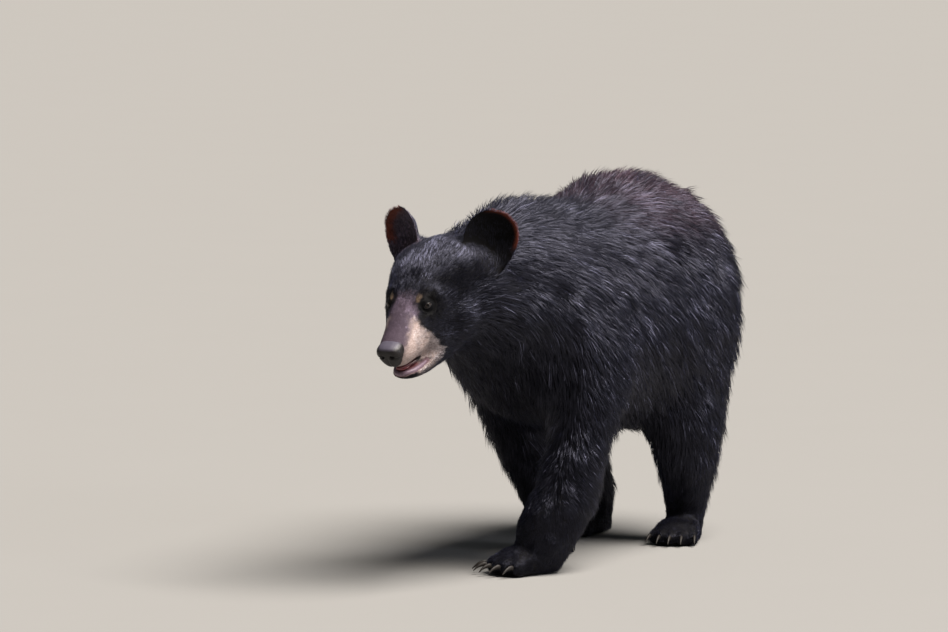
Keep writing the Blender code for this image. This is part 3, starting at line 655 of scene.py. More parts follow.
def markings(places, facing_way):
    """The coat's and the skin's markings at each place, each from 0 to 1, with painted shade round the eyes
    and in the left ear's hollow, and an ear rim that is partly a painted glow.
    """
    forward, left, up = in_head(places).T
    edge = wander(places, 0.012, 3) * 0.0018
    head = smooth_step(forward, -0.03, -0.01)
    up_rows, forward_rows = zip(*TAN_BACK)
    back = forward - np.interp(up, up_rows, forward_rows) + edge
    top = (-0.004 - 0.52 * (forward - 0.034)) - up + edge
    tan = head * smooth_step(back, -0.004, 0.006) * smooth_step(top, -0.008, 0.009)
    tan *= smooth_step(up, -0.124, -0.112) * (1 - smooth_step(forward, 0.066, 0.078) * (up < -0.097))
    tan *= 1 - 0.62 * smooth_step(-up, 0.100, 0.110)
    bridge = head * smooth_step(forward, -0.016, 0.026) * (1 - smooth_step(top, -0.002, 0.010))
    off_eye = smooth_step(from_eyes(places) + edge, 0.014, 0.022)
    # painted shade round the eyes, where the brow shades them
    painted_eye_shade = 1 - smooth_step(from_eyes(places) + 2 * edge, 0.014, 0.032)
    tan, bridge = tan * off_eye, bridge * off_eye
    brow = np.zeros(len(places))
    for spot_left in BROW_SPOTS:
        apart = (in_head(places) - (0.004, spot_left, 0.014)) / (1.8, 1.05, 1.8)
        away = np.linalg.norm(apart, axis=1) + edge
        brow = np.maximum(brow, 1 - smooth_step(away, 0.0015, 0.0060))
    line_forward, line_up = zip(*LIP_LINE)
    gap = np.abs(up - np.interp(forward, line_forward, line_up))
    parted = smooth_step(forward, 0.010, 0.016) * (1 - smooth_step(gap, 0.0065, 0.0085))
    parted *= smooth_step(np.abs(facing_way @ UP), 0.35, 0.65)
    mouth = parted * smooth_step(forward, 0.046, 0.060)
    tan *= 1 - 0.9 * (parted - mouth)
    lip = np.zeros(len(places))
    for i in np.nonzero((forward > 0.0) & (up < -0.080) & (up > -0.115))[0]:
        from_lip = LIP_TREE.find((forward[i], abs(left[i]), up[i]))[2]
        lip[i] = 1 - smooth_step(from_lip, 0.0050, 0.0068)
    rim, hollow = ear_marks(places, facing_way)
    # the right ear's face is as grey-brown as the bridge of the nose
    grey = in_ear("ear_right", places) * smooth_step(facing_way @ ear_face("ear_right")[1], 0.0, 0.4)
    bridge = np.maximum(bridge, 0.62 * grey)
    rust = smooth_step(places[:, 1], 0.02, 0.30) * smooth_step(places[:, 2], 0.56, 0.69)
    rust = rust * (0.75 + 0.25 * wander(places, 0.09, 5))
    sole = smooth_step(-facing_way[:, 2], 0.6, 0.85) * (1 - smooth_step(places[:, 2], 0.010, 0.016))
    return {"tan": tan, "bridge": bridge, "brow": brow, "mouth": mouth, "lip": lip, "rim": rim,
            "hollow": hollow, "painted_eye_shade": painted_eye_shade, "rust": np.clip(rust, 0, 1), "sole": sole}


HAIR_MARKS = ("rust", "bridge", "tan", "painted_eye_shade", "brow", "hollow", "rim")
SKIN_MARKS = (*HAIR_MARKS, "mouth", "lip", "sole")


# ---------------------------------------------------------------- the coat


def bare_places(places, marks):
    """1 where hair grows and 0 on the nose, lips, mouth, eyes and soles."""
    nose = np.linalg.norm((places - spot("nose", (0.5, 0.55, 0.5))) / (0.024, 0.022, 0.019), axis=1)
    grows = smooth_step(nose, 0.95, 1.05) * (1 - marks["mouth"]) * (1 - marks["sole"]) * (1 - marks["lip"])
    for side in (1, -1):
        centre, facing, slit, across = eye_frame(side)
        offset = places - centre
        along, over, height = offset @ slit, offset @ across, offset @ facing
        lids = np.hypot(along / (LID_LENGTH + 0.8 * MM), over / (LID_OPENING + 0.9 * MM))
        grows *= np.where(height > -0.012, smooth_step(lids, 0.95, 1.1), 1)
    return grows * (1 - 0.55 * marks["hollow"])


def eye_room(places):
    """How much shorter the hair is close to the eyes."""
    return 0.55 + 0.45 * smooth_step(from_eyes(places), 0.011, 0.026)


class Roots:
    """Where every tuft grows, with all that the skin knows there."""

    def __init__(self, skin):
        mesh = skin.data
        mesh.calc_loop_triangles()
        corners = np.empty(len(mesh.loop_triangles) * 3, dtype=np.int64)
        mesh.loop_triangles.foreach_get("vertices", corners)
        corners = corners.reshape(-1, 3)
        places = points(skin)
        outward = unit(settled(skin, normals(skin), 2))
        marks = markings(places, outward)
        lie, depth, length = lie_of_the_coat(places)
        lie = lie - outward * (lie * outward).sum(axis=1, keepdims=True)
        lie = unit(settled(skin, unit(lie), 8))
        room = eye_room(places)
        length = settled(skin, length, 6)[:, 0] * room
        depth = settled(skin, depth, 6)[:, 0] * room
        width = TUFT_WIDTH[0] + TUFT_WIDTH[1] * length
        front = smooth_step(in_head(places)[:, 0], -0.05, -0.02)
        most = MOST_TUFTS[1] + (MOST_TUFTS[0] - MOST_TUFTS[1]) * front * (1 + (from_eyes(places) < 22 * MM))
        density = np.minimum(2 * TUFT_LAYERS / (width * length), most) * bare_places(places, marks)
        one, two, three = (places[corners[:, k]] for k in range(3))
        area = np.linalg.norm(np.cross(two - one, three - one), axis=1) / 2
        wanted = np.cumsum(area * density[corners].mean(axis=1))
        count = int(wanted[-1])
        steps = np.arange(count) + RNG.uniform(0, 1, count)
        chosen = np.searchsorted(wanted, steps[steps < wanted[-1]])
        first, second = RNG.uniform(0, 1, (2, len(chosen)))
        over = first + second > 1
        first[over], second[over] = 1 - first[over], 1 - second[over]
        shares = np.column_stack((1 - first - second, first, second))
        ends = corners[chosen]

        def mixed(values):
            return (values[ends] * shares.reshape(len(chosen), 3, *([1] * (values.ndim - 1)))).sum(axis=1)

        self.place = mixed(places)
        self.outward = unit(mixed(outward))
        self.lie = unit(mixed(lie))
        self.depth, self.length, self.width = mixed(depth), mixed(length), mixed(width)
        self.marks = {name: mixed(values) for name, values in marks.items()}
        self.node = nearest_nodes(self.place)

    def __len__(self):
        return len(self.place)


def locks(roots, tips):
    """Draws the tips together into locks, more loosely on short hair."""
    spacing = 5.5 * roots.width
    chance = np.minimum(1, 1.1 * (roots.width * roots.length / (2 * TUFT_LAYERS)) / spacing ** 2)
    leaders = np.nonzero(RNG.uniform(0, 1, len(roots)) < chance)[0]
    tree = KDTree(len(leaders))
    for number, leader in enumerate(leaders):
        tree.insert(roots.place[leader], number)
    tree.balance()
    follow = np.array([tree.find(place)[1] for place in roots.place])
    leader = leaders[follow]
    aim = tips[leader] + (roots.place - roots.place[leader]) * 0.15
    apart = np.linalg.norm(roots.place - roots.place[leader], axis=1)
    pull = CLUMP * RNG.uniform(0.5, 1.2, len(roots)) * (apart < 3 * spacing)
    pull *= 0.35 + 0.65 * smooth_step(roots.length, 10 * MM, 30 * MM)
    tips = tips + (aim - tips) * pull[:, None]
    rise = RNG.normal(0, 0.16, len(roots))[leader] * roots.depth
    return tips + roots.outward * rise[:, None], leader


def grow(roots, bent):
    """Root, bend and tip of every tuft."""
    count = len(roots)
    outward, lie = roots.outward, roots.lie
    side = unit(np.cross(outward, lie))
    swirl = 0.16 * wander(roots.place, 0.060, 11) + 0.09 * wander(roots.place, 0.016, 12)
    swirl = swirl * (0.45 + 0.55 * smooth_step(roots.length, 10 * MM, 26 * MM)) + RNG.normal(0, 0.09, count)
    way = lie * np.cos(swirl)[:, None] + side * np.sin(swirl)[:, None]
    reach = 1 + 0.13 * wander(roots.place, 0.030, 13) + RNG.normal(0, 0.12, count)
    length = roots.length * np.clip(reach, 0.55, 1.35) * np.where(bent, GUARD_LENGTH, UNDER_LENGTH)
    lift = roots.depth / roots.length * (1.12 + 0.12 * wander(roots.place, 0.024, 14)
                                         + 0.19 * wander(roots.place, 0.085, 15)
                                         + RNG.normal(0, 0.12, count))
    lift = np.clip(lift * np.where(bent, 1 / GUARD_LENGTH + 0.12, UNDER_LIFT), 0.05, 0.9)
    steep = np.minimum(1.35 * lift, 0.95)
    shallow = 0.60 * lift
    root = roots.place - outward * ROOT_SINK
    half = length / 2

    def leg(rise):
        return (way * np.sqrt(1 - rise ** 2)[:, None] + outward * rise[:, None]) * half[:, None]

    bend = root + leg(steep)
    tip = bend + leg(shallow)
    tip, leader = locks(roots, tip)
    bend = bend + (tip - (bend + leg(shallow))) * 0.35
    for row in (root, bend, tip):
        row[:, 2] = np.maximum(row[:, 2], LOWEST_HAIR)
        row[:, 0] = np.clip(row[:, 0], CAD_BOX[0][0] - WIDEST_HAIR, CAD_BOX[1][0] + WIDEST_HAIR)
    return root, bend, tip, leader


def tuft_mesh(name, root, bend, tip, outward, width, bent):
    """One closed mesh of all these tufts: each is a thin three-sided lock that ends in a point."""
    count = len(root)
    axis = unit(tip - root)
    flat = unit(np.cross(axis, outward))
    raised = unit(np.cross(flat, axis))
    roll = RNG.uniform(-0.9, 0.9, count)[:, None]
    flat, raised = flat * np.cos(roll) + raised * np.sin(roll), raised * np.cos(roll) - flat * np.sin(roll)
    half = (width / 2)[:, None]

    def ring(middle, scale):
        return [middle - flat * half * scale, middle + flat * half * scale,
                middle + raised * half * scale * 0.9]

    if bent:
        rows = ring(root, 0.8) + ring(bend, 1.0) + [tip]
        faces = np.array(((0, 1, 2), (0, 3, 1), (1, 3, 4), (1, 4, 2), (2, 4, 5), (2, 5, 0), (0, 5, 3),
                          (3, 6, 4), (4, 6, 5), (5, 6, 3)))
        spread = ((0, 0), (1, 0), (0, 1), (0.3, 0.5), (0.8, 0.5), (0.5, 0.8), (1, 1))
        along = (0, 0, 0, 0.5, 0.5, 0.5, 1)
    else:
        rows = ring(root, 1.0) + [tip]
        faces = np.array(((0, 1, 2), (0, 3, 1), (1, 3, 2), (2, 3, 0)))
        spread = ((0, 0), (1, 0), (0, 1), (1, 1))
        along = (0, 0, 0, 1)
    many = len(rows)
    verts = np.stack(rows, axis=1).reshape(-1, 3)
    loops = (faces[None] + (np.arange(count) * many)[:, None, None]).reshape(-1)
    mesh = bpy.data.meshes.new(name)
    mesh.vertices.add(len(verts))
    mesh.vertices.foreach_set("co", verts.astype(np.float32).ravel())
    mesh.loops.add(len(loops))
    mesh.loops.foreach_set("vertex_index", loops.astype(np.int32))
    mesh.polygons.add(len(loops) // 3)
    mesh.polygons.foreach_set("loop_start", np.arange(0, len(loops), 3, dtype=np.int32))
    mesh.update(calc_edges=True)
    return mesh, many, np.array(spread) * PATCH, np.array(along), loops


HALVES = {"chest": "chest", "barrel": "barrel", "rump": "hindquarters"}  # coats in two halves
DOWN_THE_HEAD, ALONG = ((0.5, 0.0, 0.1), (0.5, 1.0, 0.6)), ((0.5, 0.0, 0.5), (0.5, 1.0, 0.5))
# the node that each coat piece is unwrapped in, and the shares of its box between which it runs
COATS = {
    **{f"coat_{part}": ("head", *DOWN_THE_HEAD) for part in ("muzzle_left", "muzzle_right", "head")},
    **{f"coat_{ear}": (ear, (0.5, 0.5, 0.0), (0.5, 0.5, 1.0)) for ear in EARS},
    "coat_neck": ("neck", *ALONG),
    **{f"coat_{part}_{side}": (node_name, *ALONG)
       for part, node_name in HALVES.items() for side in ("left", "right")},
    **{f"coat_{leg}": (leg, (0.5, 0.5, 1.0), (0.5, 0.5, 0.0)) for leg in LEGS},
    **{f"coat_{paw}": (paw, *ALONG[::-1]) for paw in PAWS},
}


def coat_names(roots):
    """Which coat piece each tuft belongs to."""
    names = np.array(list(COATS))
    number = {name: i for i, name in enumerate(names)}
    found = np.zeros(len(roots), dtype=int)
    left = roots.place[:, 0] >= 0
    for i, node in enumerate(FLESH):
        here = roots.node == i
        if node in ("head", "lower_jaw"):
            front = in_head(roots.place)[:, 0] > -0.01
            found[here & front & left] = number["coat_muzzle_left"]
            found[here & front & ~left] = number["coat_muzzle_right"]
            found[here & ~front] = number["coat_head"]
        elif node == "neck":
            found[here] = number["coat_neck"]
        elif node in ("chest", "barrel", "hindquarters", "tail"):
            piece = {"chest": "coat_chest", "barrel": "coat_barrel"}.get(node, "coat_rump")
            found[here & left] = number[piece + "_left"]
            found[here & ~left] = number[piece + "_right"]
        else:
            found[here] = number["coat_" + node]
    return names, found


def unwrapped(name, places):
    """Each place on an unwrap of the skin round this piece's own line, within the unit square."""
    node_name, start_share, end_share = COATS[name]
    start, end = spot(node_name, start_share), spot(node_name, end_share)
    axis = unit(end - start)
    away = places - start
    along = away @ axis
    across = away - np.outer(along, axis)
    reference = LEFT if abs(axis[0]) < 0.9 else np.array((0, 0, 1.0))
    one = unit(reference - axis * (reference @ axis))
    other = np.cross(axis, one)
    angle = np.arctan2(across @ other, across @ one)
    turn = angle if name.endswith("_left") else np.mod(angle, 2 * math.pi)
    square = np.column_stack((turn, along))
    low, high = square.min(axis=0), square.max(axis=0)
    return 0.01 + (square - low) / np.maximum(high - low, 1e-9) * 0.975


# node, share of its box, how far it reaches in mm, and how much painted light (+) or painted shade (-) the
# coat takes there: a paler or darker tone, and a nap turned to or from the sun
PAINTED_LIGHT_SPOTS = (
    ("head", (0.86, 0.66, 0.72), 42, -0.60),  # temple
    ("head", (0.80, 0.50, 0.72), 34, -0.40),
    ("head", (0.31, 0.50, 0.83), 42, 0.90),  # far side of the crown
    ("head", (0.46, 0.66, 0.95), 40, 0.45),
    ("ear_right", (0.50, 0.30, 0.50), 50, 0.90),
    ("head", (0.82, 0.42, 0.42), 34, -0.35),  # cheek
    ("neck", (0.90, 0.52, 0.62), 42, -0.55),  # the ruff's edge
    ("neck", (0.94, 0.82, 0.30), 46, -0.55),
    ("chest", (0.82, 0.12, 0.68), 42, -0.45),
    ("chest", (0.76, 0.36, 0.84), 52, 0.25),  # shoulder blade
    ("barrel", (0.91, 0.50, 0.73), 40, -0.70),  # hollow of the flank
    ("barrel", (0.75, 0.55, 0.91), 50, 0.50),  # loin
    ("hindquarters", (0.80, 0.45, 0.87), 55, 0.55),  # rump
    ("hindquarters", (0.98, 0.38, 0.60), 50, 0.55),  # haunch
    ("hindquarters", (0.96, 0.25, 0.20), 45, 0.25),
)
LIGHT_FROM = unit(SUN_FROM)
# node, share of its box, how far it reaches in mm, and how far the coat's lie swells (+) or sinks (-) in mm
SWELLS = (
    ("neck", (0.90, 0.52, 0.62), 42, -12),  # the ruff's edge
    ("neck", (0.94, 0.82, 0.30), 46, -12),
    ("chest", (0.82, 0.12, 0.68), 42, -10),
    ("chest", (0.76, 0.36, 0.84), 52, 8),  # shoulder blade
    ("barrel", (0.91, 0.50, 0.73), 42, -14),  # hollow of the flank
    ("barrel", (0.75, 0.55, 0.91), 50, 8),  # loin
    ("hindquarters", (0.80, 0.45, 0.87), 55, 12),  # rump
    ("hindquarters", (0.98, 0.38, 0.60), 50, 9),  # haunch
)
SWELL_STEP = 2.0  # mm, for the slope
SWELL_TILT = 1.4  # how strongly the slope turns the coat's shading
PAINTED_SINK_SHADE = 0.028  # painted shade: darker by this much for each mm that the coat sinks
PAINTED_GLINT_SHARE = 0.045  # painted glints: the share of the tufts on the sides that take the palest tone
PAINTED_GLINT_MIDDLE, PAINTED_GLINT_REACH = 0.335, 0.215  # the height of the painted glints' band, and half its width
TRUNK_STARTS, TRUNK_FULL = (0.5, 0.0, 0.5), (0.5, 0.35, 0.5)  # along the neck, for the swells


def spots_of(table, places):
    """The sum of a table's soft round spots at each place; those on the trunk are on both its sides."""
    found = np.zeros(len(places))
    for node_name, share, reach, amount in table:
        centre = spot(node_name, share)
        away = np.linalg.norm(places - centre, axis=1)
        if node_name in TRUNK:
            away = np.minimum(away, np.linalg.norm(places - centre * (-1, 1, 1), axis=1))
        found += amount * np.exp(-(away / (reach * MM)) ** 2)
    return found


def painted_light_at(roots):
    """Painted light and shade at each root: how far the coat's tone is paled and its nap turned to the
    light (+), or darkened and turned away from it into its own shade (-); painted shade underneath, low
    down and round the eyes.
    """
    places = roots.place
    under = 1 - smooth_step(roots.outward[:, 2], -0.35, 0.55)
    low = 1 - smooth_step(places[:, 2], 0.40, 0.60)
    found = -0.38 * under * low - 0.95 * roots.marks["painted_eye_shade"]
    found -= 0.30 * (1 - smooth_step(places[:, 2], 0.10, 0.30))
    found += spots_of(PAINTED_LIGHT_SPOTS, places)
    return found + 0.12 * wander(places, 0.10, 21) + 0.10 * wander(places, 0.045, 22)


def swell(places):
    """How far the lie of the trunk's coat swells or sinks at each place, in mm."""
    return 3.0 * wander(places, 0.09, 31) + 1.3 * wander(places, 0.04, 32) + spots_of(SWELLS, places)


def swell_slope(places):
    """The way in which the coat's lie rises at each place, and how steeply."""
    steps = np.eye(3) * SWELL_STEP * MM
    return np.column_stack([(swell(places + step) - swell(places - step)) / (2 * SWELL_STEP)
                            for step in steps])


def tones(roots, leader, painted_light, trunk):
    """How dark or pale each tuft is from 0 to 1, with painted light and shade in it; only the palest glint,
    and they are painted glints.
    """
    count, height = len(roots), roots.place[:, 2]
    lock_tone = RNG.uniform(0, 1, count)
    tone = 0.42 * lock_tone[leader] + 0.58 * RNG.uniform(0, 1, count)
    tone += 0.13 * wander(roots.place, 0.07, 16) + 0.10 * wander(roots.place, 0.19, 17)
    tone -= 0.28 * (1 - smooth_step(height, 0.14, 0.38))
    # painted glint: a paler tone on the flanks; painted light and shade: paler where the coat is turned to
    # the sun, darker where turned from it
    outwards = np.abs(roots.outward[:, 0])
    flank = smooth_step(outwards, 0.45, 0.8) * smooth_step(roots.place[:, 1], -0.15, 0.05)
    tone += 0.10 * flank * smooth_step(height, 0.18, 0.30) + 0.17 * np.clip(painted_light, -1, 1)
    # painted shade in the hollows where the coat's lie sinks
    tone += PAINTED_SINK_SHADE * trunk * np.minimum(swell(roots.place), 0)
    # painted glints: a share of the tufts on the sides take the palest tone, which stands in for highlights
    # on the hair
    side = (outwards > 0.4) & (np.abs(height - PAINTED_GLINT_MIDDLE) < PAINTED_GLINT_REACH)
    glint = side & (RNG.uniform(0, 1, count) < PAINTED_GLINT_SHARE)
    return np.where(glint, RNG.uniform(0.88, 1, count), np.clip(tone, 0, 1))


def naps(roots, way, painted_light, trunk):
    """The way each tuft's shading faces: off its own length, turned a little at random round it, tilted by
    the swells' slope, and turned to or from the sun by the painted light.
    """
    nap = unit(roots.outward - way * (way * roots.outward).sum(axis=1, keepdims=True))
    turn = np.clip(RNG.normal(0, NAP_TURN, len(roots)), -1.1, 1.1)[:, None]
    nap = nap * np.cos(turn) + np.cross(way, nap) * np.sin(turn)
    slope = swell_slope(roots.place)
    slope -= roots.outward * (slope * roots.outward).sum(axis=1, keepdims=True)
    return unit(nap + painted_light[:, None] * LIGHT_FROM - SWELL_TILT * trunk[:, None] * slope)


def make_coat(skin, finish):
    """The whole coat, as one piece for each part of the body."""
    roots = Roots(skin)
    bent_ones = (roots.length > BENT_FROM) & (RNG.uniform(0, 1, len(roots)) < BENT_SHARE)
    root, bend, tip, leader = grow(roots, bent_ones)
    names, piece_of = coat_names(roots)
    # painted light and shade for each tuft, which pales or darkens its tone and turns its nap
    painted_light = painted_light_at(roots)
    trunk = smooth_step(roots.place[:, 1], spot("neck", TRUNK_STARTS)[1], spot("neck", TRUNK_FULL)[1])
    tone = tones(roots, leader, painted_light, trunk)
    # each tuft takes a marking wholly or hardly at all, which leaves the marking's edge ragged
    draw = RNG.uniform(-0.35, 0.35, len(roots))
    marks = {mark: smooth_step(roots.marks[mark] + draw, 0.38, 0.62) for mark in HAIR_MARKS}
    marks["rust"] = roots.marks["rust"]
    width = roots.width * np.where(bent_ones, GUARD_WIDTH, 1)
    nap = naps(roots, unit(tip - root), painted_light, trunk)
    total = 0
    for number, name in enumerate(names):
        meshes = []
        for bent in (True, False):
            mine = np.nonzero((piece_of == number) & (bent_ones == bent))[0]
            if len(mine) == 0:
                continue
            mesh, many, spread, along, loops = tuft_mesh(
                name, root[mine], bend[mine], tip[mine], roots.outward[mine], width[mine], bent)
            # the whole piece sets the square's scale, so both kinds of tuft share one unwrap
            square = unwrapped(name, np.vstack((roots.place[mine], roots.place[piece_of == number])))
            square = square[:len(mine)]
            layer = mesh.uv_layers.new(name="OFBake")
            per_point = (square[:, None, :] + spread[None]).reshape(-1, 2)
            layer.data.foreach_set("uv", per_point[loops].astype(np.float32).ravel())
            for mark in HAIR_MARKS:
                store(mesh, mark, np.repeat(marks[mark][mine], many))
            store(mesh, "tone", np.repeat(tone[mine], many))
            store(mesh, "along", np.tile(along, len(mine)))
            store(mesh, "nap", np.repeat(nap[mine], many, axis=0))
            meshes.append(mesh)
        parts = []
        for mesh in meshes:
            part = bpy.data.objects.new(name, mesh)
            bpy.context.scene.collection.objects.link(part)
            parts.append(part)
        if not parts:
            continue
        only(parts[0])
        if len(parts) > 1:
            parts[1].select_set(True)
            bpy.ops.object.join()
        piece = parts[0]
        piece.name = piece.data.name = name
        piece.data.materials.clear()
        piece.data.materials.append(finish)
        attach(piece, "root")
        total += len(piece.data.polygons)
        print(f"{name}: {len(piece.data.polygons)} triangles")
    print(f"coat: {len(roots)} tufts, {total} triangles; skin: {len(skin.data.polygons)} faces")


# ---------------------------------------------------------------- materials


def colour(hexed):
    """An sRGB hex value as linear red, green, blue and alpha."""
    parts = [int(hexed[i:i + 2], 16) / 255 for i in (1, 3, 5)]
    return (*(part / 12.92 if part <= 0.04045 else ((part + 0.055) / 1.055) ** 2.4 for part in parts), 1)


def node(tree, kind, settings=None, **links):
    """Adds a node with its settings; each link names an input and gives a value or another's output."""
    made = tree.nodes.new(kind)
    for setting, value in (settings or {}).items():
        setattr(made, setting, value)
    for name, value in links.items():
        key = int(name[1:]) if name[0] == "_" and name[1:].isdigit() else name.replace("_", " ")
        if isinstance(value, bpy.types.NodeSocket):
            tree.links.new(value, made.inputs[key])
        else:
            made.inputs[key].default_value = value
    return made


def new_material(name):
    made = bpy.data.materials.new(name)
    made.use_nodes = True
    return made, made.node_tree, made.node_tree.nodes["Principled BSDF"]


def marked_colour(tree, shade, fleck, marks):
    """Lays the markings over a colour, each between its dark and light shades by the fleck."""
    for mark, share, dark, light in marks:
        here = node(tree, "ShaderNodeAttribute", {"attribute_name": mark}).outputs["Fac"]
        part = node(tree, "ShaderNodeMath", {"operation": "MULTIPLY"}, _0=here, _1=share).outputs[0]
        own = node(tree, "ShaderNodeMix", {"data_type": "RGBA"},
                   _0=fleck, _6=colour(dark), _7=colour(light)).outputs[2]
        shade = node(tree, "ShaderNodeMix", {"data_type": "RGBA"}, _0=part, _6=shade, _7=own).outputs[2]
    return shade


def set_ramp(ramp, *stops):
    """Gives a colour ramp its stops, as a position and an sRGB hex each."""
    while len(ramp.elements) < len(stops):
        ramp.elements.new(0.5)
    for element, (position, hexed) in zip(ramp.elements, stops):
        element.position, element.color = position, colour(hexed)


def surfaced(tree, shader, shade, height=None, strength=0, depth=0, **settings):
    """Gives a shader its colour, its whole-surface values, and a bump of this strength and depth."""
    tree.links.new(shade, shader.inputs["Base Color"])
    for name, value in settings.items():
        shader.inputs[name.replace("_", " ")].default_value = value
    if height is not None:
        bump = node(tree, "ShaderNodeBump", {}, Strength=strength, Distance=depth * MM, Height=height)
        tree.links.new(bump.outputs["Normal"], shader.inputs["Normal"])


def painted_mouth_shade(tree, place, shade):
    """Painted shade in the mouth: its colour darkens to near black from the front to its depth."""
    reach = node(tree, "ShaderNodeVectorMath", {"operation": "DOT_PRODUCT"}, _0=place, _1=tuple(FORWARD))
    start = float(MID_EYES @ FORWARD)
    front = node(tree, "ShaderNodeMapRange", {}, Value=reach.outputs["Value"],
                 _1=start + 56 * MM, _2=start + 78 * MM).outputs[0]
    return node(tree, "ShaderNodeMix", {"data_type": "RGBA"},
                _0=front, _6=colour("#0d0809"), _7=shade).outputs[2]


def fur_finish():
    """Guard hair of a black bear: glossy and near black, so the eye sees it by its blue-grey sheen."""
    made, tree, shader = new_material("guard_hair")
    tone = node(tree, "ShaderNodeAttribute", {"attribute_name": "tone"}).outputs["Fac"]
    along = node(tree, "ShaderNodeAttribute", {"attribute_name": "along"}).outputs["Fac"]
    # most hair is black, and the palest tone is painted glint: pale grey hair that stands in for highlights
    black = node(tree, "ShaderNodeValToRGB", {}, Fac=tone)
    set_ramp(black.color_ramp, (0.0, "#070709"), (0.84, "#17171c"), (0.90, "#26262f"), (1.0, "#7e7f97"))
    tips = node(tree, "ShaderNodeMath", {"operation": "MULTIPLY"}, _0=along, _1=0.35).outputs[0]
    shade = node(tree, "ShaderNodeMix", {"data_type": "RGBA"},
                 _0=tips, _6=black.outputs["Color"], _7=colour("#282831")).outputs[2]
    fleck = node(tree, "ShaderNodeValToRGB", {}, Fac=tone)
    set_ramp(fleck.color_ramp, (0.0, "#000000"), (0.24, "#404040"), (0.36, "#c8c8c8"), (0.75, "#ffffff"))
    # painted shade blackens the eyes' surround and the left ear's hollow; the ears' rim is partly a painted
    # glow
    shade = marked_colour(tree, shade, fleck.outputs["Color"], (
        ("rust", 0.7, "#1d1317", "#4d343b"), ("bridge", 1.0, "#261f26", "#806f80"),
        ("tan", 1.0, "#6d5c56", "#f1e6e6"), ("painted_eye_shade", 0.9, "#040405", "#09090b"),
        ("brow", 0.9, "#7a6658", "#d9c5ae"), ("hollow", 0.9, "#050505", "#0b0a0b"),
        ("rim", 1.0, "#3c1a14", "#8c4a38")))
    surfaced(tree, shader, shade, Roughness=0.44, Specular_IOR_Level=0.42,
             Specular_Tint=colour("#d6d8fb"), Sheen_Weight=0.09, Sheen_Roughness=0.35,
             Sheen_Tint=colour("#969ce0"))
    # hair takes the light along its nap, which softens the flat sides of each tuft
    nap = node(tree, "ShaderNodeAttribute", {"attribute_name": "nap"}).outputs["Vector"]
    own = node(tree, "ShaderNodeNewGeometry").outputs["Normal"]
    soft = node(tree, "ShaderNodeMix", {"data_type": "VECTOR"}, _0=NAP_SHARE, _4=own, _5=nap)
    level = node(tree, "ShaderNodeVectorMath", {"operation": "NORMALIZE"}, _0=soft.outputs[1])
    tree.links.new(level.outputs["Vector"], shader.inputs["Normal"])
    return made


def skin_finish():
    """Hide under short fur: dark, finely wrinkled, with the coat's markings and the lip's mauve."""
    made, tree, shader = new_material("hide")
    place = node(tree, "ShaderNodeTexCoord").outputs["Object"]
    # streaks of lying hair, 0.5 mm across and 4 mm along the head
    along = node(tree, "ShaderNodeMapping", {}, Vector=place, Rotation=(-HEAD_PITCH, 0, 0),
                 Scale=(1100.0, 150.0, 900.0)).outputs["Vector"]
    streak = node(tree, "ShaderNodeTexNoise", {}, Vector=along, Scale=1.0, Detail=3.0).outputs["Fac"]
    mottle = node(tree, "ShaderNodeMapRange", {}, Value=streak, _1=0.34, _2=0.66).outputs[0]
    black = node(tree, "ShaderNodeMix", {"data_type": "RGBA"},
                 _0=mottle, _6=colour("#070608"), _7=colour("#111013")).outputs[2]
    # painted shade blackens the eyes' surround and the left ear's hollow; the ears' rim is partly a painted
    # glow
    shade = marked_colour(tree, black, mottle, (
        ("rust", 0.7, "#0e090a", "#1c1213"), ("bridge", 1.0, "#292229", "#544854"),
        ("tan", 1.0, "#75645e", "#bcaba6"), ("painted_eye_shade", 0.95, "#040405", "#080709"),
        ("brow", 0.5, "#5a483c", "#8f7a66"), ("hollow", 0.9, "#050405", "#0a0809"),
        ("rim", 1.0, "#351812", "#70382a"),
        ("mouth", 1.0, "#4a2529", "#764044"), ("lip", 1.0, "#4a393e", "#6f585e"),
        ("sole", 1.0, "#141214", "#232022")))
    surfaced(tree, shader, shade, streak, 0.6, 0.6, Roughness=0.7, Specular_IOR_Level=0.1)
    return made


def nose_finish():
    """Wet bare nose leather: black and pebbled, with a cool sheen on top that is painted in as a paler
    blue-grey.
    """
    made, tree, shader = new_material("nose_leather")
    place = node(tree, "ShaderNodeTexCoord").outputs["Object"]
    pebble = node(tree, "ShaderNodeTexVoronoi", {}, Vector=place, Scale=1000.0)  # pebbles of 1 mm
    mottle = node(tree, "ShaderNodeTexNoise", {}, Vector=place, Scale=160.0, Detail=3.0).outputs["Fac"]
    front = node(tree, "ShaderNodeMix", {"data_type": "RGBA"},
                 _0=mottle, _6=colour("#0b0909"), _7=colour("#1a1414")).outputs[2]
    # painted sheen: the top of the nose is a paler blue-grey than its front, from this height up
    height = node(tree, "ShaderNodeVectorMath", {"operation": "DOT_PRODUCT"}, _0=place, _1=tuple(UP))
    middle = float(spot("nose", (0.5, 0.5, 0.5)) @ UP)
    painted_top_sheen = node(tree, "ShaderNodeMapRange", {}, Value=height.outputs["Value"],
               _1=middle + 11 * MM, _2=middle + 15.5 * MM).outputs[0]
    shade = node(tree, "ShaderNodeMix", {"data_type": "RGBA"},
                 _0=painted_top_sheen, _6=front, _7=colour("#484450")).outputs[2]
    surfaced(tree, shader, shade, pebble.outputs["Distance"], 0.45, 0.3, Roughness=0.42,
             Specular_IOR_Level=0.35)
    return made


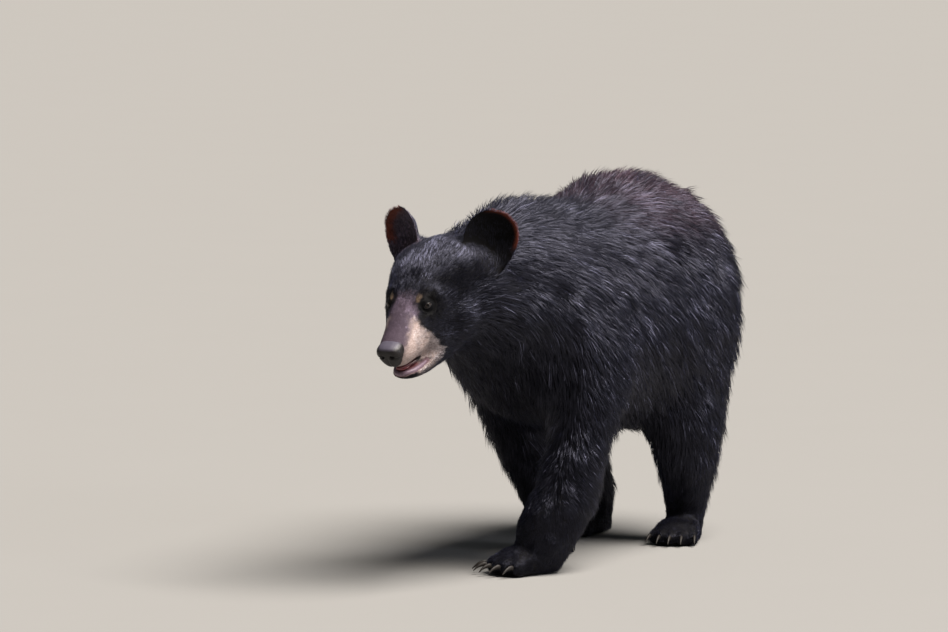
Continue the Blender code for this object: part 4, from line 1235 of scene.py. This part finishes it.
def eye_finish(side):
    """A dark brown iris with a black pupil under a wet cornea, which gives the one bright glint."""
    made, tree, shader = new_material("cornea_" + ("left" if side > 0 else "right"))
    centre, facing, _, _ = eye_frame(side)
    place = node(tree, "ShaderNodeTexCoord").outputs["Object"]
    pole = centre + facing * EYE_RADIUS
    away = node(tree, "ShaderNodeVectorMath", {"operation": "DISTANCE"}, _0=place, _1=tuple(pole))
    share = node(tree, "ShaderNodeMath", {"operation": "MULTIPLY"},
                 _0=away.outputs["Value"], _1=1 / (9 * MM)).outputs[0]
    ring = node(tree, "ShaderNodeValToRGB", {}, Fac=share)
    set_ramp(ring.color_ramp, (0.28, "#020202"), (0.36, "#180d08"), (0.56, "#26140c"), (0.66, "#0c0706"),
             (0.86, "#080606"))
    surfaced(tree, shader, ring.outputs["Color"], Roughness=0.15, Specular_IOR_Level=0.2,
             Coat_Weight=0.22, Coat_Roughness=0.03)
    return made


def lid_finish():
    """The bare edge of a bear's eyelid: black and moist, with a fine grain."""
    made, tree, shader = new_material("lid_leather")
    place = node(tree, "ShaderNodeTexCoord").outputs["Object"]
    grain = node(tree, "ShaderNodeTexNoise", {}, Vector=place, Scale=300.0, Detail=4.0).outputs["Fac"]
    shade = node(tree, "ShaderNodeMix", {"data_type": "RGBA"},
                 _0=grain, _6=colour("#080709"), _7=colour("#131115")).outputs[2]
    surfaced(tree, shader, shade, grain, 0.4, 0.2, Roughness=0.42)
    return made


def lip_finish():
    """The bare lower lip: mauve-black and wet, with cross creases a few millimetres apart."""
    made, tree, shader = new_material("lip_leather")
    place = node(tree, "ShaderNodeTexCoord").outputs["Object"]
    mottle = node(tree, "ShaderNodeTexNoise", {}, Vector=place, Scale=260.0, Detail=5.0).outputs["Fac"]
    creases = node(tree, "ShaderNodeTexWave", {"bands_direction": "Y"}, Vector=place, Scale=55.0,
                   Distortion=3.0, Detail=2.0).outputs["Fac"]
    shade = node(tree, "ShaderNodeMix", {"data_type": "RGBA"},
                 _0=mottle, _6=colour("#523f49"), _7=colour("#867080")).outputs[2]
    surfaced(tree, shader, shade, creases, 0.15, 0.3, Roughness=0.48)
    return made


def tongue_finish():
    """The tongue: deep pink and wet, rough with small papillae."""
    made, tree, shader = new_material("tongue_flesh")
    place = node(tree, "ShaderNodeTexCoord").outputs["Object"]
    papillae = node(tree, "ShaderNodeTexVoronoi", {}, Vector=place, Scale=800.0).outputs["Distance"]
    mottle = node(tree, "ShaderNodeTexNoise", {}, Vector=place, Scale=150.0, Detail=3.0).outputs["Fac"]
    shade = node(tree, "ShaderNodeMix", {"data_type": "RGBA"},
                 _0=mottle, _6=colour("#6c353c"), _7=colour("#955055")).outputs[2]
    # painted shade deeper in the mouth
    shade = painted_mouth_shade(tree, place, shade)
    surfaced(tree, shader, shade, papillae, 0.5, 0.3, Roughness=0.30)
    return made


def mouth_finish():
    """The flesh inside the mouth: dark red-brown and wet."""
    made, tree, shader = new_material("mouth_flesh")
    place = node(tree, "ShaderNodeTexCoord").outputs["Object"]
    mottle = node(tree, "ShaderNodeTexNoise", {}, Vector=place, Scale=300.0, Detail=4.0).outputs["Fac"]
    shade = node(tree, "ShaderNodeMix", {"data_type": "RGBA"},
                 _0=mottle, _6=colour("#482427"), _7=colour("#6d393c")).outputs[2]
    # painted shade deeper in the mouth
    shade = painted_mouth_shade(tree, place, shade)
    surfaced(tree, shader, shade, mottle, 0.4, 0.3, Roughness=0.35)
    return made


def claw_finish():
    """Claw horn: dark brown, worn smooth, with a fibre that runs through it."""
    made, tree, shader = new_material("claw_horn")
    place = node(tree, "ShaderNodeTexCoord").outputs["Object"]
    fibre = node(tree, "ShaderNodeMapping", {}, Vector=place, Scale=(900.0, 120.0, 900.0)).outputs["Vector"]
    streak = node(tree, "ShaderNodeTexNoise", {}, Vector=fibre, Scale=1.0, Detail=3.0).outputs["Fac"]
    shade = node(tree, "ShaderNodeMix", {"data_type": "RGBA"},
                 _0=streak, _6=colour("#0f0d0c"), _7=colour("#2a2521")).outputs[2]
    surfaced(tree, shader, shade, streak, 0.3, 0.15, Roughness=0.5, Specular_IOR_Level=0.25)
    return made


def floor_finish():
    """A plain matt studio floor, barely mottled."""
    made, tree, shader = new_material("matt_floor")
    place = node(tree, "ShaderNodeTexCoord").outputs["Object"]
    mottle = node(tree, "ShaderNodeTexNoise", {}, Vector=place, Scale=3.0, Detail=4.0).outputs["Fac"]
    shade = node(tree, "ShaderNodeMix", {"data_type": "RGBA"},
                 _0=mottle, _6=colour("#7f7e7c"), _7=colour("#807f7d")).outputs[2]
    surfaced(tree, shader, shade, Roughness=0.9)
    return made


# ---------------------------------------------------------------- small pieces


def make_eye(side):
    """The eyeball, with a cornea that stands a little proud."""
    name = "eye_left" if side > 0 else "eye_right"
    centre, facing, _, _ = eye_frame(side)
    nothing_selected()
    bpy.ops.mesh.primitive_uv_sphere_add(segments=48, ring_count=32, radius=EYE_RADIUS)
    ball = bpy.context.object
    ball.name = ball.data.name = name + "_ball"
    places = points(ball)
    turn = Vector((0, 0, 1)).rotation_difference(Vector(facing)).to_matrix()
    cornea = 1 + 0.07 * smooth_step(places[:, 2] / EYE_RADIUS, 0.62, 1.0)
    places = (places * cornea[:, None]) @ np.array(turn).T + centre
    move_points(ball, places)
    bpy.ops.object.shade_smooth()
    ball.data.materials.append(eye_finish(side))
    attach(ball, "root")
    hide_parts(name)


def tube(name, path, radius, closed=False, taper=None):
    """A smooth rod along a path, made as a bevelled curve and then turned to a mesh."""
    curve = bpy.data.curves.new(name, "CURVE")
    curve.dimensions = "3D"
    curve.bevel_depth = radius
    curve.bevel_resolution = 3
    curve.use_fill_caps = True
    line = curve.splines.new("POLY")
    line.points.add(len(path) - 1)
    for i, place in enumerate(path):
        line.points[i].co = (*place, 1)
        line.points[i].radius = 1 if taper is None else taper[i]
    line.use_cyclic_u = closed
    rod = bpy.data.objects.new(name, curve)
    bpy.context.scene.collection.objects.link(rod)
    only(rod)
    bpy.ops.object.convert(target="MESH")
    rod = bpy.context.object
    bpy.ops.object.mode_set(mode="EDIT")
    bpy.ops.mesh.select_all(action="SELECT")
    bpy.ops.mesh.remove_doubles(threshold=0.00001)
    bpy.ops.mesh.normals_make_consistent(inside=False)
    bpy.ops.object.mode_set(mode="OBJECT")
    bpy.ops.object.shade_smooth()
    return rod


def make_lid_rim(side, finish):
    """The bare dark edge of the lids round the eye's opening."""
    centre, facing, slit, across = eye_frame(side)
    path = []
    steps = 56
    for i in range(steps):
        angle = 2 * math.pi * i / steps
        along = LID_LENGTH * math.cos(angle)
        over = math.copysign(float(opening_height(along)), math.sin(angle)) if i % (steps // 2) else 0.0
        height = math.sqrt(max((EYE_RADIUS + 0.35 * MM) ** 2 - along ** 2 - over ** 2, (1.5 * MM) ** 2))
        path.append(centre + slit * along + across * over + facing * height)
    name = "lid_rim_" + ("left" if side > 0 else "right")
    rim = tube(name, path, LID_RIM, closed=True)
    rim.data.materials.append(finish)
    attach(rim, "root")


def make_nose(finish):
    """The nose pad, with comma-shaped nostrils and the groove between them."""
    nose = copy_of(("nose",), "nose_pad")
    applied(nose, "REMESH", mode="VOXEL", voxel_size=1.1 * MM)
    applied(nose, "SMOOTH", factor=0.5, iterations=36)
    move_points(nose, points(nose) + normals(nose) * NOSE_PROUD)
    # the bare leather runs down over the front of the upper lip, narrower as it goes
    middle = in_head(spot("nose", (0.5, 0.5, 0.5)))
    rows = in_head(points(nose))
    drop = smooth_step(middle[2] - rows[:, 2], -0.004, 0.018)
    rows[:, 2] -= NOSE_DROP * drop
    rows[:, 1] *= 1 - 0.22 * drop
    rows[:, 0] -= 4.5 * MM * drop
    move_points(nose, MID_EYES + rows @ HEAD_AXES)
    places = points(nose)
    outward = normals(nose)
    _, left, up = (in_head(places) - middle).T
    across = np.abs(left)
    front = smooth_step(outward @ FORWARD, -0.2, 0.3)
    pit = np.hypot((across - 0.0105) / 0.0058, (up + 0.0015) / 0.0048)
    slit = np.hypot((across - 0.0190) / 0.0085, (up + 0.0045 + 0.15 * (across - 0.015)) / 0.0020)
    groove = np.abs(left) / 0.0011
    push = front * 6.5 * MM * (1 - smooth_step(pit, 0.45, 1.05))
    push = np.maximum(push, 3.2 * MM * (1 - smooth_step(slit, 0.4, 1.1))
                      * smooth_step(outward @ FORWARD, -0.75, -0.3))
    push += front * 0.9 * MM * np.exp(-groove ** 2) * smooth_step(-up, 0.001, 0.006)
    wing = np.exp(-(((across - 0.0125) / 0.006) ** 2) - (((up - 0.0065) / 0.004) ** 2))
    push -= 0.9 * MM * wing * front
    inwards = np.column_stack((np.full(len(left), -0.9), -0.35 * np.sign(left), np.full(len(left), 0.15)))
    inwards = unit(inwards @ HEAD_AXES)
    move_points(nose, places + inwards * push[:, None])
    applied(nose, "SMOOTH", factor=0.4, iterations=2)
    bpy.ops.object.shade_smooth()
    nose.data.materials.append(finish)
    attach(nose, "root")
    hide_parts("nose")


def make_lower_lip(skin, finish):
    """The bare rolled edge of the lower lip, laid on the jaw from one corner of the mouth to the other."""
    half = lip_path()
    rows = np.vstack((half, half[-2::-1] * (1, -1, 1, 1)))
    surface = BVHTree.FromPolygons([point.co for point in skin.data.vertices],
                                   [face.vertices for face in skin.data.polygons])
    path = []
    for row in rows:
        place, normal, _, _ = surface.find_nearest(Vector(head_place(*row[:3])))
        path.append(np.array(place - normal * LIP_RADIUS * LIP_SUNK))
    path = np.array(path)
    for _ in range(4):
        path[1:-1] = (path[:-2] + path[1:-1] * 2 + path[2:]) / 4
    lip = tube("lower_lip", path, LIP_RADIUS, taper=rows[:, 3])
    lip.data.materials.append(finish)
    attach(lip, "root")


def make_mouth_lining(finish):
    """The wet flesh inside the mouth, behind the lips and under the tongue."""
    nothing_selected()
    bpy.ops.mesh.primitive_uv_sphere_add(segments=32, ring_count=20, radius=1)
    lining = bpy.context.object
    lining.name = lining.data.name = "mouth_lining"
    rows = points(lining) * (0.040, 0.0215, 0.0062)
    rows[:, 1] *= 1 - 0.35 * smooth_step(rows[:, 0], 0.0, 0.040)
    rows[:, 2] += 0.16 * rows[:, 0]
    move_points(lining, MID_EYES + (rows + (0.055, 0, -0.0865)) @ HEAD_AXES)
    bpy.ops.object.mode_set(mode="EDIT")
    bpy.ops.mesh.select_all(action="SELECT")
    bpy.ops.mesh.normals_make_consistent(inside=False)
    bpy.ops.object.mode_set(mode="OBJECT")
    bpy.ops.object.shade_smooth()
    lining.data.materials.append(finish)
    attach(lining, "root")


def make_tongue(finish):
    """The tongue's rounded blade, between the lips."""
    tongue = copy_of(("tongue",), "tongue_blade")
    applied(tongue, "SUBSURF", levels=2, render_levels=2)
    bpy.ops.object.shade_smooth()
    tongue.data.materials.append(finish)
    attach(tongue, "root")
    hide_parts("tongue")


def make_claws(paw, finish):
    """The five claws of one paw, each a smooth horn of its own."""
    names = [f"claw_{paw}_{toe}" for toe in range(1, TOES + 1)]
    claws = copy_of(names, "claws_" + paw)
    applied(claws, "SUBSURF", levels=2, render_levels=2)
    bpy.ops.object.shade_smooth()
    claws.data.materials.append(finish)
    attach(claws, "root")
    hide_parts(*names)


# ---------------------------------------------------------------- studio


def area_light(name, place, aim, size, power, tint):
    lamp = bpy.data.lights.new(name, "AREA")
    lamp.shape = "DISK"
    lamp.size = size
    lamp.energy = power
    lamp.color = colour(tint)[:3]
    holder = bpy.data.objects.new(name, lamp)
    holder.location = place
    holder.rotation_euler = (Vector(aim) - Vector(place)).to_track_quat("-Z", "Y").to_euler()
    bpy.context.scene.collection.objects.link(holder)


def make_studio():
    """A pale floor and soft light: a wide sun high over the bear's left, and a weak fill beside it."""
    nothing_selected()
    bpy.ops.mesh.primitive_plane_add(size=60, location=(0, 0, 0))
    floor = bpy.context.object
    floor.name = "floor"
    floor.data.materials.append(floor_finish())
    world = bpy.data.worlds.new("studio")
    world.use_nodes = True
    back = world.node_tree.nodes["Background"]
    back.inputs["Color"].default_value = colour("#dfe3e8")
    back.inputs["Strength"].default_value = SKY_POWER
    bpy.context.scene.world = world
    bpy.context.scene.view_settings.view_transform = "Standard"
    sun = bpy.data.lights.new("sun", "SUN")
    sun.energy = SUN_POWER
    sun.angle = SUN_WIDTH
    sun.color = colour("#fff8f0")[:3]
    holder = bpy.data.objects.new("sun", sun)
    holder.rotation_euler = (-Vector(SUN_FROM)).to_track_quat("-Z", "Y").to_euler()
    bpy.context.scene.collection.objects.link(holder)
    middle = (0, 0, 0.4)
    area_light("fill", FILL_PLACE, middle, FILL_SIZE, FILL_POWER, "#f4f5ff")


def make_camera():
    """A long lens a little above the bear's back, in front of its left shoulder."""
    lens = bpy.data.cameras.new("camera")
    lens.sensor_width = 36
    lens.lens = CAMERA_LENS
    lens.clip_start, lens.clip_end = 0.1, 100
    camera = bpy.data.objects.new("camera", lens)
    place, aim = Vector(CAMERA_PLACE), Vector(CAMERA_AIM)
    camera.location = place
    camera.rotation_euler = (aim - place).to_track_quat("-Z", "Y").to_euler()
    bpy.context.scene.collection.objects.link(camera)
    bpy.context.scene.camera = camera


# ---------------------------------------------------------------- the bear


def main():
    make_camera()
    make_studio()
    skin = make_skin()
    marks = markings(points(skin), normals(skin))
    for mark in SKIN_MARKS:
        store(skin.data, mark, marks[mark])
    skin.data.materials.append(skin_finish())
    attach(skin, "root")
    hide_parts(*FLESH)
    make_coat(skin, fur_finish())
    lid = lid_finish()
    for side in (1, -1):
        make_eye(side)
        make_lid_rim(side, lid)
    make_nose(nose_finish())
    make_lower_lip(skin, lip_finish())
    make_tongue(tongue_finish())
    make_mouth_lining(mouth_finish())
    horn = claw_finish()
    for paw in PAWS:
        make_claws(paw, horn)


main()
